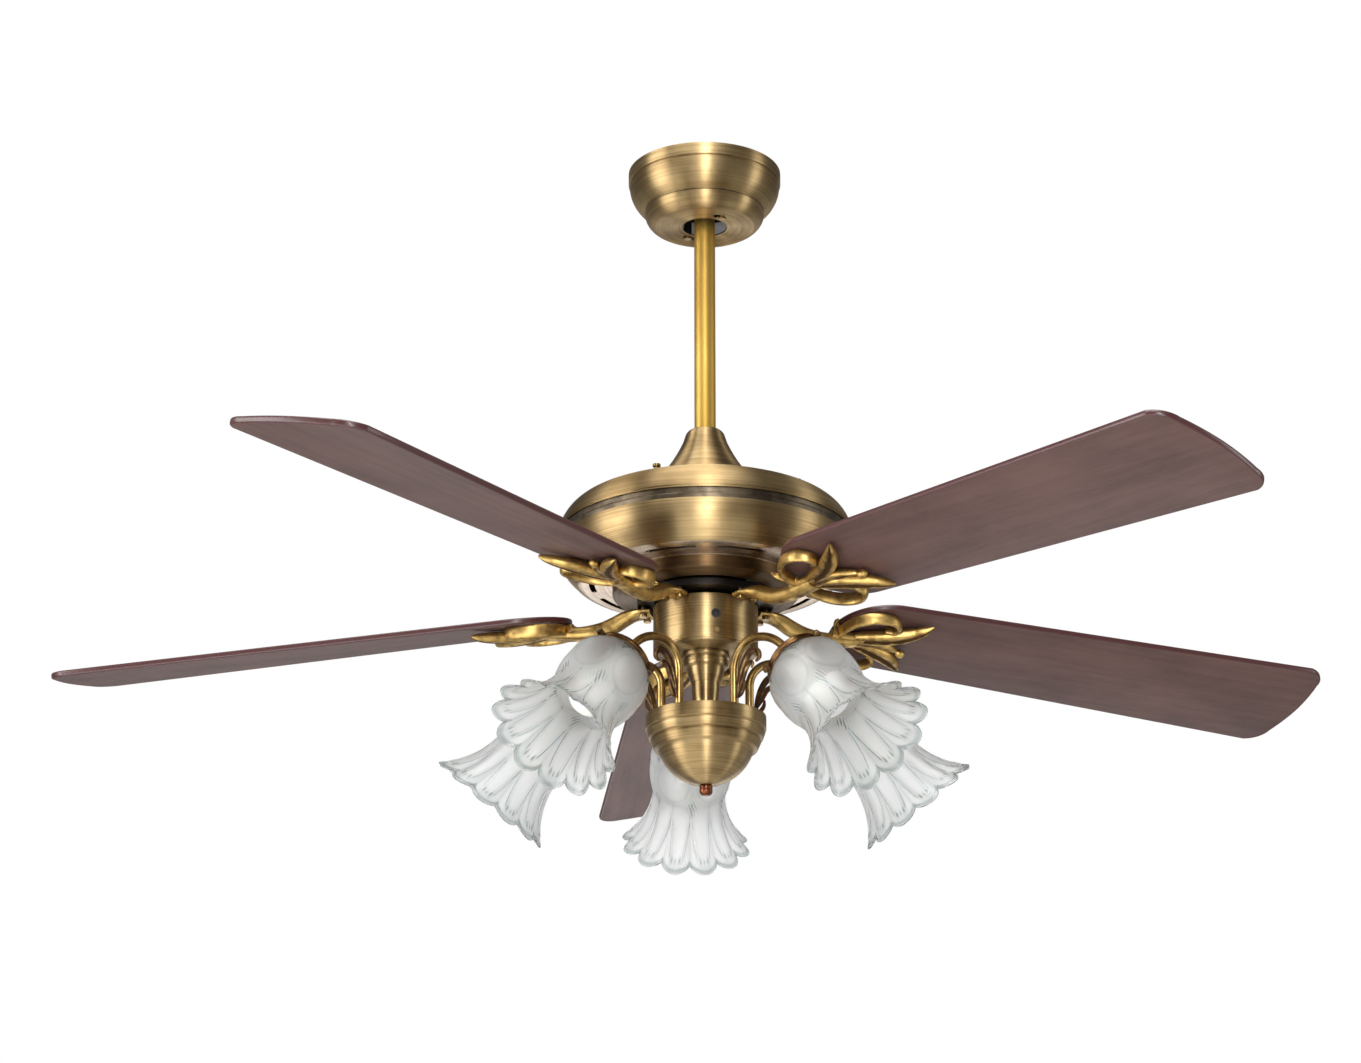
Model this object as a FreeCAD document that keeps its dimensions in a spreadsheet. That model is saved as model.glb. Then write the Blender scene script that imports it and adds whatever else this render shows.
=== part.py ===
import FreeCAD, Part
import Sketcher
import math
import os

# A five-blade ceiling fan with a five-lamp light kit, hung from a ball joint in
# its ceiling bracket. Millimetres, +Z up, origin on the ceiling at the centre of
# the bracket. Everything hangs below, so places down the fan are given as a
# depth below the ceiling, and turned pieces are drawn with depth positive.

SIZES = {
    # ceiling bracket, ball joint and canopy
    "bracket_length": 116.0, "bracket_width": 34.0, "bracket_plate": 2.5,
    "bracket_bolt_spacing": 88.0, "bracket_bolt_radius": 3.25, "wire_hole_radius": 10.0,
    "strap_thickness": 3.0, "seat_top": 27.0, "seat_bottom": 38.0, "seat_radius": 34.0,
    "ball_radius": 22.0, "ball_depth": 24.0, "ball_flat": 13.0, "ball_gap": 0.3, "ball_pin_radius": 3.0,
    "post_radius": 4.0, "canopy_screw_circle": 29.4, "canopy_screw_radius": 2.0,
    "canopy_radius": 76.5, "canopy_band": 12.2, "canopy_step_depth": 42.0, "canopy_step_radius": 60.0,
    "canopy_depth": 58.0, "canopy_floor_radius": 51.0, "canopy_hole_radius": 22.0, "sheet_wall": 1.2,
    # downrod, coupling and yoke cover
    "rod_radius": 10.5, "rod_wall": 2.2, "rod_top": 10.0, "rod_bottom": 315.0,
    "coupling_radius": 14.8, "coupling_top": 296.0, "coupling_pin_depth": 305.0, "cross_pin_radius": 3.0,
    "yoke_top": 277.5, "yoke_top_radius": 19.5, "yoke_base_radius": 52.0,
    # motor housing
    "dome_top": 333.0, "dome_shoulder_radius": 120.0, "dome_shoulder_depth": 358.0, "motor_radius": 142.7,
    "dome_bottom": 387.8, "band_bottom": 398.5, "bowl_turn_radius": 130.0, "bowl_turn_depth": 430.0,
    "floor_radius": 119.0, "floor_depth": 436.5, "boss_radius": 90.0, "boss_depth": 449.0,
    "boss_opening": 64.0, "vent_inner": 107.5, "vent_outer": 113.0, "post_circle": 100.0,
    # motor
    "shaft_radius": 9.0, "shaft_bore": 6.0, "shaft_bottom": 470.0, "bearing_radius": 17.0,
    "bearing_height": 11.0,
    "rotor_radius": 92.0, "rotor_wall": 4.0, "rotor_top": 352.0, "rotor_bottom": 431.0,
    "stator_radius": 80.0, "stator_top": 378.0, "stator_bottom": 404.0, "winding_radius": 57.0,
    "winding_section": 6.5,
    "flywheel_radius": 66.0, "flywheel_top": 451.0, "flywheel_thickness": 7.5,
    # blades and irons
    "blade_root": 135.0, "blade_tip": 660.0, "blade_root_width": 112.0, "blade_tip_width": 144.0,
    "blade_thickness": 6.0, "blade_root_depth": 466.5, "blade_pitch": 12.9, "blade_droop": 2.4,
    "blade_corner": 24.0, "blade_tip_rise": 5.0,
    "iron_plate": 7.0, "iron_arm_radius": 7.5, "iron_root_inner": 54.0, "iron_root_outer": 72.0,
    "iron_root_width": 26.0, "iron_root_thickness": 7.5, "iron_screw_circle": 60.0,
    "iron_screw_spread": 16.0,
    "wood_screw_radius": 2.2, "wood_screw_head": 4.5, "machine_screw_radius": 2.0,
    "machine_screw_head": 3.8,
    # switch housing and column
    "switch_radius": 50.5, "switch_top": 461.0, "switch_bottom": 506.0, "switch_wall": 1.0,
    "switch_lip": 12.0, "chain_hole_depth": 482.0, "chain_hole_radius": 4.6, "switch_screw_depth": 499.0,
    "nipple_radius": 4.0, "nipple_bore": 2.8, "nipple_top": 500.0, "nipple_bottom": 644.0,
    "collar_radius": 23.4, "collar_height": 5.0, "funnel_radius": 21.6, "funnel_waist": 11.7,
    # light kit
    "cup_radius": 57.8, "cup_top": 571.0, "cup_sphere": 47.4, "cup_bottom": 637.6,
    "arm_plate_thickness": 2.5, "arm_foot_radius": 44.5, "arm_tube": 4.1, "arm_tube_bore": 3.1,
    "arm_inner_bend": 26.0, "arm_end_run": 6.4, "lamp_tilt": 48.0, "cap_radius_out": 126.5,
    "cap_depth": 538.0,
    "cap_radius": 30.4, "cap_length": 17.6, "cap_wall": 1.0,
    "glass_neck": 27.6, "glass_bulge": 40.5, "glass_waist": 36.0, "glass_mouth": 62.5,
    "glass_length": 136.7,
    "glass_wall": 3.0, "bulb_radius": 22.0, "bulb_centre": 66.5, "bulb_cap": 6.8,
    "finial_radius": 6.2, "finial_length": 10.5,
    # clearances
    "fit_gap": 0.05, "slip_gap": 0.3,
}

BLADE_AZIMUTHS = (22.1, 94.1, 166.1, 238.1, 310.1)
ARM_AZIMUTHS = (19.0, 95.0, 163.0, 235.0, 307.0)
# How far each lamp is swivelled sideways on the end of its arm.
LAMP_TURNS = (0.0, 0.0, 0.0, -12.0, 12.0)
CANOPY_SCREW_AZIMUTHS = (125.0, 305.0)
HOUSING_SCREW_AZIMUTHS = (62.0, 152.0, 242.0, 332.0)
SWITCH_SCREW_AZIMUTHS = (41.0, 161.0, 281.0)
CHAIN_HOLE_AZIMUTH = 281.0
MAX_TILT = 10.0
VENT_COUNT = 10
VENT_ANGLE = 26.0

doc = FreeCAD.newDocument("ceiling_fan")
V = FreeCAD.Vector
DOWNWARD = FreeCAD.Placement(V(0, 0, 0), FreeCAD.Rotation(V(1, 0, 0), 180))
sheet = doc.addObject("Spreadsheet::Sheet", "Sizes")
nodes = []


class Dim:
    """A number that also knows the spreadsheet formula it comes from."""

    def __init__(self, value, text=None):
        self.value = float(value)
        self.text = text or repr(float(value))

    def pair(self, other, sign, result):
        return Dim(result, "(%s %s %s)" % (self.text, sign, other.text))

    def __add__(self, other):
        other = dim(other)
        return self.pair(other, "+", self.value + other.value)

    def __sub__(self, other):
        other = dim(other)
        return self.pair(other, "-", self.value - other.value)

    def __mul__(self, other):
        other = dim(other)
        return self.pair(other, "*", self.value * other.value)

    def __truediv__(self, other):
        other = dim(other)
        return self.pair(other, "/", self.value / other.value)

    def __radd__(self, other):
        return dim(other) + self

    def __rsub__(self, other):
        return dim(other) - self

    def __rmul__(self, other):
        return dim(other) * self


def dim(value):
    return value if isinstance(value, Dim) else Dim(value)


def root(value):
    return Dim(math.sqrt(value.value), "sqrt(%s)" % value.text)


def fill_sheet():
    for row, (name, value) in enumerate(SIZES.items(), start=1):
        sheet.set("A%d" % row, name)
        sheet.set("B%d" % row, str(value))
        sheet.setAlias("B%d" % row, name)
    doc.recompute()


class Sizes:
    def __getattr__(self, name):
        return Dim(SIZES[name], "Sizes." + name)


s = Sizes()
fill_sheet()


def polar(radius, azimuth, height):
    angle = math.radians(azimuth)
    return V(radius * math.cos(angle), radius * math.sin(angle), height)


def keep(thing, label):
    """Name a finished sub-part and list it for export."""
    thing.Label = label
    nodes.append(thing)
    return thing


def origin_plane(body, role):
    return [item for item in body.Origin.OriginFeatures if item.Role == role][0]


def constrain(sketch, kind, places, value):
    index = sketch.addConstraint(Sketcher.Constraint(kind, *places, value.value))
    sketch.setExpression("Constraints[%d]" % index, value.text)


def pin_point(sketch, edge, point, place):
    """Hold one sketch point at (x, y) measured from the origin."""
    for kind, axis, value in (("DistanceX", -2, place[0]), ("DistanceY", -1, place[1])):
        if abs(value.value) < 1e-9:
            sketch.addConstraint(Sketcher.Constraint("PointOnObject", edge, point, axis))
        else:
            constrain(sketch, kind, (-1, 1, edge, point), value)


def draw_outline(sketch, outline, closed=True):
    """Draw corners (x, y) or (x, y, bend): bend makes the next side an arc of that
    radius, turning left when positive and right when negative."""
    corners = [(dim(c[0]), dim(c[1])) for c in outline]
    bends = [dim(c[2]) if len(c) > 2 else None for c in outline]
    sides = len(corners) if closed else len(corners) - 1
    ends = []
    for i in range(sides):
        start = V(corners[i][0].value, corners[i][1].value, 0)
        finish_corner = corners[(i + 1) % len(corners)]
        finish = V(finish_corner[0].value, finish_corner[1].value, 0)
        if bends[i] is None:
            edge = sketch.addGeometry(Part.LineSegment(start, finish), False)
            ends.append((edge, 1, 2))
            continue
        radius = abs(bends[i].value)
        chord = finish - start
        reach = math.sqrt(max(radius ** 2 - (chord.Length / 2) ** 2, 0.0))
        side = V(-chord.y, chord.x, 0).normalize() * math.copysign(reach, bends[i].value)
        centre = (start + finish) * 0.5 + side
        first, last = (start, finish) if bends[i].value > 0 else (finish, start)
        angles = [math.atan2(p.y - centre.y, p.x - centre.x) for p in (first, last)]
        circle = Part.Circle(centre, V(0, 0, 1), radius)
        edge = sketch.addGeometry(Part.ArcOfCircle(circle, angles[0], angles[1]), False)
        ends.append((edge, 1, 2) if bends[i].value > 0 else (edge, 2, 1))
        size = bends[i] if bends[i].value > 0 else 0 - bends[i]
        constrain(sketch, "Radius", (edge,), size)
    for i, (edge, head, tail) in enumerate(ends):
        pin_point(sketch, edge, head, corners[i])
        if closed or i + 1 < sides:
            following = ends[(i + 1) % len(ends)]
            sketch.addConstraint(Sketcher.Constraint("Coincident", edge, tail, following[0], following[1]))
        else:
            pin_point(sketch, edge, tail, corners[i + 1])


def new_sketch(body, name, role, offset=None):
    sketch = body.newObject("Sketcher::SketchObject", name)
    sketch.AttachmentSupport = (origin_plane(body, role), [""])
    sketch.MapMode = "FlatFace"
    if offset is not None:
        sketch.setExpression("AttachmentOffset.Base.z", offset.text)
    return sketch


def turned(name, outline, place=DOWNWARD):
    """A body turned about its own Z axis; corners are (radius, height) or with a bend."""
    body = doc.addObject("PartDesign::Body", name)
    sketch = new_sketch(body, name + "_outline", "XZ_Plane")
    draw_outline(sketch, outline)
    turn = body.newObject("PartDesign::Revolution", name + "_turn")
    turn.Profile = sketch
    turn.ReferenceAxis = (sketch, ["V_Axis"])
    turn.Angle = 360
    body.Placement = place
    return body


def cylinder(name, radius, length, base, direction=V(0, 0, 1), angle=None):
    """A cylinder from base along direction; its radius and length follow the sheet."""
    item = doc.addObject("Part::Cylinder", name)
    item.setExpression("Radius", dim(radius).text)
    item.setExpression("Height", dim(length).text)
    if angle is not None:
        item.Angle = angle
    item.Placement = FreeCAD.Placement(base, FreeCAD.Rotation(V(0, 0, 1), direction))
    return item


def box(name, sizes, corner):
    item = doc.addObject("Part::Box", name)
    for side, value in zip(("Length", "Width", "Height"), sizes):
        item.setExpression(side, dim(value).text)
    for axis, value in zip("xyz", corner):
        item.setExpression("Placement.Base." + axis, dim(value).text)
    return item


def joined(name, items):
    fuse = doc.addObject("Part::MultiFuse", name)
    fuse.Shapes = items
    return fuse


def bored(name, base, tools):
    """Take the tools out of a piece."""
    cut = doc.addObject("Part::Cut", name)
    cut.Base = base
    cut.Tool = tools[0] if len(tools) == 1 else joined(name + "_tools", tools)
    return cut


def gathered(name, items):
    """Separate like solids kept as one node."""
    group = doc.addObject("Part::Compound", name)
    group.Links = items
    return group


def featured(name, shape, place=None):
    item = doc.addObject("Part::Feature", name)
    item.Shape = shape
    if place is not None:
        item.Placement = place
    return item


# ---------------------------------------------------------------- ceiling bracket
def make_bracket():
    """Pressed plate with two straps down to a spherical seat, and two posts for the canopy."""
    plate = box("bracket_plate_blank", (s.bracket_length, s.bracket_width, s.bracket_plate),
                (s.bracket_length * -0.5, s.bracket_width * -0.5, s.bracket_plate * -1))
    straps = []
    for side, corner in (("left", s.seat_radius * -1), ("right", s.seat_radius - s.strap_thickness)):
        straps.append(box("strap_" + side, (s.strap_thickness, s.bracket_width, s.seat_bottom),
                          (corner, s.bracket_width * -0.5, s.seat_bottom * -1)))
    seat_sphere = s.ball_radius + s.ball_gap
    upper = root(seat_sphere * seat_sphere - (s.seat_top - s.ball_depth) * (s.seat_top - s.ball_depth))
    lower = root(seat_sphere * seat_sphere - (s.seat_bottom - s.ball_depth) * (s.seat_bottom - s.ball_depth))
    seat = turned("bracket_seat", [(upper, s.seat_top), (s.seat_radius, s.seat_top),
                                   (s.seat_radius, s.seat_bottom),
                                   (lower, s.seat_bottom, seat_sphere * -1)])
    post_top = s.seat_bottom - 2
    post_length = s.canopy_depth - s.sheet_wall - post_top
    screw_grip = 16.0
    posts = []
    holes = []
    for azimuth in CANOPY_SCREW_AZIMUTHS:
        foot = polar(SIZES["canopy_screw_circle"], azimuth, -(post_top + post_length).value)
        posts.append(cylinder("canopy_post", s.post_radius, post_length, foot))
        holes.append(cylinder("canopy_post_hole", s.canopy_screw_radius + s.fit_gap, screw_grip, foot))
    for side in (-1, 1):
        centre = V(side * SIZES["bracket_bolt_spacing"] / 2, 0, -SIZES["bracket_plate"])
        holes.append(cylinder("ceiling_bolt_hole", s.bracket_bolt_radius, s.bracket_plate, centre))
    holes.append(cylinder("wire_hole", s.wire_hole_radius, s.bracket_plate,
        V(0, 0, -SIZES["bracket_plate"])))
    keep(bored("hanger_bracket", joined("bracket_blank", [plate, seat] + straps + posts), holes),
        "hanger_bracket")


def make_ball_joint():
    """Ball with a waisted bore, so that the rod can rock on the cross pin inside it."""
    half_flat = root(s.ball_radius * s.ball_radius - s.ball_flat * s.ball_flat)
    rock = math.tan(math.radians(MAX_TILT + 1.0))
    waist = s.rod_radius + s.slip_gap + 0.4
    mouth = waist + s.ball_flat * rock
    top = s.ball_depth - s.ball_flat
    bottom = s.ball_depth + s.ball_flat
    ball = turned("ball_blank", [(mouth, top), (half_flat, top, s.ball_radius), (half_flat, bottom),
                                 (mouth, bottom), (waist, s.ball_depth)])
    pin_length = s.ball_radius * 2 - 4
    pin_base = V(0, -pin_length.value / 2, -SIZES["ball_depth"])
    sideways = V(0, 1, 0)
    tool = cylinder("ball_pin_bore", s.ball_pin_radius + s.fit_gap, pin_length + 8, pin_base - V(0, 4, 0),
        sideways)
    keep(bored("hanger_ball", ball, [tool]), "hanger_ball")
    keep(cylinder("ball_pin", s.ball_pin_radius, pin_length, pin_base, sideways), "ball_pin")


def make_canopy():
    """Spun brass canopy: a plain rim band, two rounded steps and a flat floor with its rod hole."""
    w = s.sheet_wall
    r = s.canopy_radius
    shell = turned("canopy_shell", [
        (r, 0), (r, s.canopy_band), (r - 1.4, s.canopy_band + 0.6), (r - 1.0, s.canopy_band + 1.6, 34),
        (s.canopy_step_radius + 0.4, s.canopy_step_depth - 1),
        (s.canopy_step_radius - 0.6, s.canopy_step_depth),
        (s.canopy_step_radius, s.canopy_step_depth + 1.4, 16),
        (s.canopy_floor_radius, s.canopy_depth - 0.8), (s.canopy_floor_radius - 1.6, s.canopy_depth),
        (s.canopy_hole_radius, s.canopy_depth), (s.canopy_hole_radius, s.canopy_depth - w),
        (s.canopy_floor_radius - 2.0, s.canopy_depth - w, -14.8),
        (s.canopy_step_radius - w - 0.2, s.canopy_step_depth + 1),
        (s.canopy_step_radius - w - 0.4, s.canopy_step_depth - 1.4, -32.8),
        (r - w - 1.4, s.canopy_band + 1.6), (r - w - 1.4, s.canopy_band), (r - w, s.canopy_band - 0.8),
        (r - w, 0)])
    tools = []
    for azimuth in CANOPY_SCREW_AZIMUTHS:
        for step in (-9.0, -4.5, 0.0):
            foot = polar(SIZES["canopy_screw_circle"], azimuth + step, -SIZES["canopy_depth"] - 1)
            width = 3.6 if step < -8 else SIZES["canopy_screw_radius"] + 0.4
            tools.append(cylinder("keyhole", width, s.sheet_wall + 2, foot))
    keep(bored("canopy", shell, tools), "canopy")
    screws = []
    for azimuth in CANOPY_SCREW_AZIMUTHS:
        face = polar(SIZES["canopy_screw_circle"], azimuth, -SIZES["canopy_depth"])
        shank = cylinder("canopy_screw_shank", s.canopy_screw_radius, 14, face - V(0, 0, 1))
        head = cylinder("canopy_screw_head", s.canopy_screw_radius + 1.6, 2, face - V(0, 0, 2))
        screws.append(joined("canopy_screw", [shank, head]))
    keep(gathered("canopy_screws", screws), "canopy_screws")


# ---------------------------------------------------------------- rod and coupling
def make_rod():
    bore = s.rod_radius - s.rod_wall
    rod = turned("rod_blank", [(bore, s.rod_top), (s.rod_radius, s.rod_top),
                               (s.rod_radius, s.rod_bottom), (bore, s.rod_bottom)])
    across = s.rod_radius * 2 + 4
    sideways = V(0, 1, 0)
    tools = []
    for name, depth, radius in (("ball", "ball_depth", s.ball_pin_radius + s.fit_gap),
                                ("coupling", "coupling_pin_depth", s.cross_pin_radius + s.fit_gap)):
        base = V(0, -across.value / 2, -SIZES[depth])
        tools.append(cylinder("rod_hole_" + name, radius, across, base, sideways))
    keep(bored("downrod", rod, tools), "downrod")


def make_coupling():
    """Screwed sleeve that joins the rod to the motor shaft, with its cross pin and two set screws."""
    web_top = s.rod_bottom + 0.2
    web_bottom = web_top + 2
    rod_bore = s.rod_radius + s.fit_gap
    shaft_bore = s.shaft_radius + s.fit_gap
    blank = turned("coupling_blank", [
        (rod_bore, s.coupling_top), (s.coupling_radius - 1, s.coupling_top),
        (s.coupling_radius, s.coupling_top + 1),
        (s.coupling_radius, s.dome_top), (shaft_bore, s.dome_top), (shaft_bore, web_bottom),
        (s.shaft_bore, web_bottom), (s.shaft_bore, web_top), (rod_bore, web_top)])
    sideways = V(0, 1, 0)
    pin_length = s.coupling_radius * 2 + 4
    pin_base = V(0, -pin_length.value / 2, -SIZES["coupling_pin_depth"])
    pin_bore = cylinder("coupling_pin_bore", s.cross_pin_radius + s.fit_gap, pin_length, pin_base, sideways)
    screw_radius = Dim(2.5)
    screw_depth = SIZES["coupling_pin_depth"]
    screw_start = s.rod_radius + s.fit_gap * 2
    tools = [pin_bore]
    screws = []
    for side in (-1, 1):
        base = V(side * screw_start.value, 0, -screw_depth)
        tools.append(cylinder("set_screw_bore", screw_radius + s.fit_gap, 8, base, V(side, 0, 0)))
        screws.append(cylinder("set_screw", screw_radius, 4.8, base, V(side, 0, 0)))
    keep(bored("coupling", blank, tools), "coupling")
    keep(cylinder("coupling_pin", s.cross_pin_radius, pin_length, pin_base, sideways), "coupling_pin")
    keep(gathered("coupling_screws", screws), "coupling_screws")


def make_yoke_cover():
    w = s.sheet_wall
    rise = s.yoke_top
    base = dome_height(s.yoke_base_radius) - 0.5
    bore = s.rod_radius + s.slip_gap
    keep(turned("yoke_cover", [
        (bore, rise), (s.yoke_top_radius - 6, rise, 9), (s.yoke_top_radius, rise + 6),
        (s.yoke_top_radius + 2.2, rise + 13, -160), (s.yoke_base_radius - 6, base - 7),
        (s.yoke_base_radius, base), (s.yoke_base_radius - w * 1.4, base),
        (s.yoke_base_radius - 6 - w * 1.2, base - 6.6, 159), (s.yoke_top_radius + 2.2 - w, rise + 13.4),
        (s.yoke_top_radius - w, rise + 6.4, -7.6), (s.yoke_top_radius - 6.4, rise + w), (bore, rise + w)]),
        "yoke_cover")


# ---------------------------------------------------------------- motor housing
CROWN = 290.0
CROWN_FLAT = 18.0
SHOULDER = 36.0


def dome_height(radius):
    """Depth of the dome's outer crown at a radius, from the crown's circle through its two ends."""
    flat = Dim(CROWN_FLAT)
    run = s.dome_shoulder_radius - flat
    drop = s.dome_shoulder_depth - s.dome_top
    chord = root(run * run + drop * drop)
    reach = root(Dim(CROWN) * CROWN - chord * chord * 0.25)
    centre_r = flat + run * 0.5 - drop / chord * reach
    centre_d = s.dome_top + drop * 0.5 + run / chord * reach
    return centre_d - root(Dim(CROWN) * CROWN - (radius - centre_r) * (radius - centre_r))


def make_upper_housing():
    """Spun dome, held down by four screws into the posts of the bowl below it."""
    w = s.sheet_wall
    r = s.motor_radius
    hole = s.shaft_radius + s.slip_gap
    dome = turned("upper_housing_shell", [
        (hole, s.dome_top), (CROWN_FLAT, s.dome_top, CROWN),
        (s.dome_shoulder_radius, s.dome_shoulder_depth, SHOULDER), (r, s.dome_bottom),
        (r - w, s.dome_bottom, (SHOULDER - w) * -1),
        (s.dome_shoulder_radius - w * 0.4, s.dome_shoulder_depth + w * 0.92, (CROWN - w) * -1),
        (CROWN_FLAT, s.dome_top + w), (hole, s.dome_top + w)])
    tools = []
    screws = []
    for azimuth in HOUSING_SCREW_AZIMUTHS:
        seat = polar(SIZES["post_circle"], azimuth, -dome_height(s.post_circle).value)
        tools.append(cylinder("dome_screw_hole", s.machine_screw_radius + s.fit_gap, 12, seat - V(0, 0, 6)))
        shank = cylinder("housing_screw_shank", s.machine_screw_radius, 12, seat - V(0, 0, 10))
        head = cylinder("housing_screw_head", s.machine_screw_head, 2.4, seat + V(0, 0, 1.6))
        screws.append(joined("housing_screw", [shank, head]))
    keep(bored("upper_housing", dome, tools), "upper_housing")
    keep(gathered("housing_screws", screws), "housing_screws")


def make_trim_band():
    """Dark band in the seam: its middle shows, and its thinner edges tuck inside the dome and the bowl."""
    outer = s.motor_radius - s.sheet_wall
    tucked = outer - 1.2
    top = s.dome_bottom - 4
    bottom = s.band_bottom + 4
    keep(turned("trim_band", [
        (tucked - 1.2, top), (tucked, top), (tucked, s.dome_bottom + 0.3), (outer, s.dome_bottom + 0.3),
        (outer, s.band_bottom - 0.3), (tucked, s.band_bottom - 0.3), (tucked, bottom),
        (tucked - 1.2, bottom)]), "trim_band")


def make_lower_housing():
    """Bowl with a turned-in floor, arc-shaped vents, a stepped boss and four inside posts."""
    w = s.sheet_wall
    r = s.motor_radius
    bowl = turned("lower_housing_bowl", [
        (r, s.band_bottom, 34), (s.bowl_turn_radius, s.bowl_turn_depth, 14),
        (s.floor_radius, s.floor_depth),
        (s.boss_radius + 0.8, s.floor_depth), (s.boss_radius, s.floor_depth + 1),
        (s.boss_radius, s.boss_depth - 1),
        (s.boss_radius - 1, s.boss_depth), (s.boss_opening, s.boss_depth),
        (s.boss_opening, s.boss_depth - w),
        (s.boss_radius - w - 0.4, s.boss_depth - w), (s.boss_radius - w, s.floor_depth - w),
        (s.floor_radius - 0.4, s.floor_depth - w, -12.8),
        (s.bowl_turn_radius - w, s.bowl_turn_depth - 0.4, -32.8),
        (r - w, s.band_bottom)])
    posts = []
    tools = []
    for azimuth in HOUSING_SCREW_AZIMUTHS:
        top = dome_height(s.post_circle) + 3.4
        foot = polar(SIZES["post_circle"], azimuth, -(s.floor_depth - w * 0.5).value)
        posts.append(cylinder("housing_post", 4.5, s.floor_depth - w * 0.5 - top, foot))
        hole_foot = polar(SIZES["post_circle"], azimuth, -(top + 9).value)
        tools.append(cylinder("post_hole", s.machine_screw_radius + s.fit_gap, 10, hole_foot))
    for index in range(VENT_COUNT):
        azimuth = index * 360.0 / VENT_COUNT - VENT_ANGLE / 2
        base = V(0, 0, -SIZES["floor_depth"] - 2)
        outer = cylinder("vent_outer", s.vent_outer, 6, base, angle=VENT_ANGLE)
        inner = cylinder("vent_inner", s.vent_inner, 6, base, angle=VENT_ANGLE)
        vent = bored("vent", outer, [inner])
        vent.Placement = FreeCAD.Placement(V(0, 0, 0), FreeCAD.Rotation(V(0, 0, 1), azimuth))
        tools.append(vent)
    vented = bored("vented_bowl", bowl, tools[len(HOUSING_SCREW_AZIMUTHS):])
    keep(bored("lower_housing", joined("bowl_with_posts", [vented] + posts),
               tools[:len(HOUSING_SCREW_AZIMUTHS)]), "lower_housing")


# ---------------------------------------------------------------- motor
def make_motor():
    top = s.rod_bottom + 2.4
    keep(turned("motor_shaft", [(s.shaft_bore, top), (s.shaft_radius, top),
                                (s.shaft_radius, s.shaft_bottom), (s.shaft_bore, s.shaft_bottom)]),
                                "motor_shaft")
    hub = s.shaft_radius + s.fit_gap
    keep(turned("stator_core", [(hub, s.stator_top), (s.stator_radius, s.stator_top),
                                (s.stator_radius, s.stator_bottom), (hub, s.stator_bottom)]), "stator_core")
    coils = []
    for depth in (s.stator_top - s.winding_section - s.fit_gap,
        s.stator_bottom + s.winding_section + s.fit_gap):
        coil = doc.addObject("Part::Torus", "coil")
        coil.setExpression("Radius1", s.winding_radius.text)
        coil.setExpression("Radius2", s.winding_section.text)
        coil.setExpression("Placement.Base.z", (depth * -1).text)
        coils.append(coil)
    keep(gathered("stator_windings", coils), "stator_windings")
    for name, depth in (("upper_bearing", s.rotor_top),
        ("lower_bearing", s.rotor_bottom - s.bearing_height)):
        keep(turned(name, [(hub, depth), (s.bearing_radius, depth),
            (s.bearing_radius, depth + s.bearing_height),
                           (hub, depth + s.bearing_height)]), name)
    seat = s.bearing_radius + s.fit_gap
    lip = s.bearing_radius + 5
    middle = (s.rotor_top + s.rotor_bottom) * 0.5
    inner = s.rotor_radius - s.rotor_wall
    keep(turned("rotor_upper_shell", [
        (seat, s.rotor_top), (s.rotor_radius, s.rotor_top), (s.rotor_radius, middle), (inner, middle),
        (inner, s.rotor_top + s.rotor_wall), (lip, s.rotor_top + s.rotor_wall),
        (lip, s.rotor_top + s.bearing_height), (seat, s.rotor_top + s.bearing_height)]),
        "rotor_upper_shell")
    keep(turned("rotor_lower_shell", [
        (seat, s.rotor_bottom - s.bearing_height), (lip, s.rotor_bottom - s.bearing_height),
        (lip, s.rotor_bottom - s.rotor_wall), (inner, s.rotor_bottom - s.rotor_wall), (inner, middle),
        (s.rotor_radius, middle), (s.rotor_radius, s.rotor_bottom), (seat, s.rotor_bottom)]),
        "rotor_lower_shell")


def make_flywheel():
    neck = Dim(40.0)
    bore = Dim(26.0)
    bottom = s.flywheel_top + s.flywheel_thickness
    wheel = turned("flywheel_blank", [
        (bore, s.rotor_bottom), (neck, s.rotor_bottom), (neck, s.flywheel_top),
        (s.flywheel_radius - 1, s.flywheel_top),
        (s.flywheel_radius, s.flywheel_top + 1), (s.flywheel_radius, bottom), (bore, bottom)])
    tools = []
    for place in iron_screw_places():
        tools.append(cylinder("flywheel_hole", s.machine_screw_radius + s.fit_gap, 6, place))
    keep(bored("flywheel", wheel, tools), "flywheel")


def iron_screw_places():
    """Centres of the iron screws on the underside of the flywheel, two to each iron."""
    places = []
    for azimuth in BLADE_AZIMUTHS:
        for side in (-0.5, 0.5):
            across = polar(side * SIZES["iron_screw_spread"], azimuth + 90, 0)
            depth = SIZES["flywheel_top"] + SIZES["flywheel_thickness"]
            places.append(polar(SIZES["iron_screw_circle"], azimuth, -depth) + across)
    return places


# ---------------------------------------------------------------- blades and irons
def blade_place(azimuth, below=0.0):
    """Frame of one blade: X outward along it, Z up through it, at the middle of the root's underside."""
    turn = FreeCAD.Rotation(V(0, 0, 1), azimuth)
    droop = FreeCAD.Rotation(V(0, 1, 0), SIZES["blade_droop"])
    pitch = FreeCAD.Rotation(V(1, 0, 0), -SIZES["blade_pitch"])
    spin = turn.multiply(droop).multiply(pitch)
    base = polar(SIZES["blade_root"], azimuth, -SIZES["blade_root_depth"])
    return FreeCAD.Placement(base + spin.multVec(V(0, 0, -below)), spin)


# Blade screws, measured outward from the blade's root and across it.
BLADE_SCREWS = ((30.0, 0.0), (52.0, -16.0), (52.0, 16.0))


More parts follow.
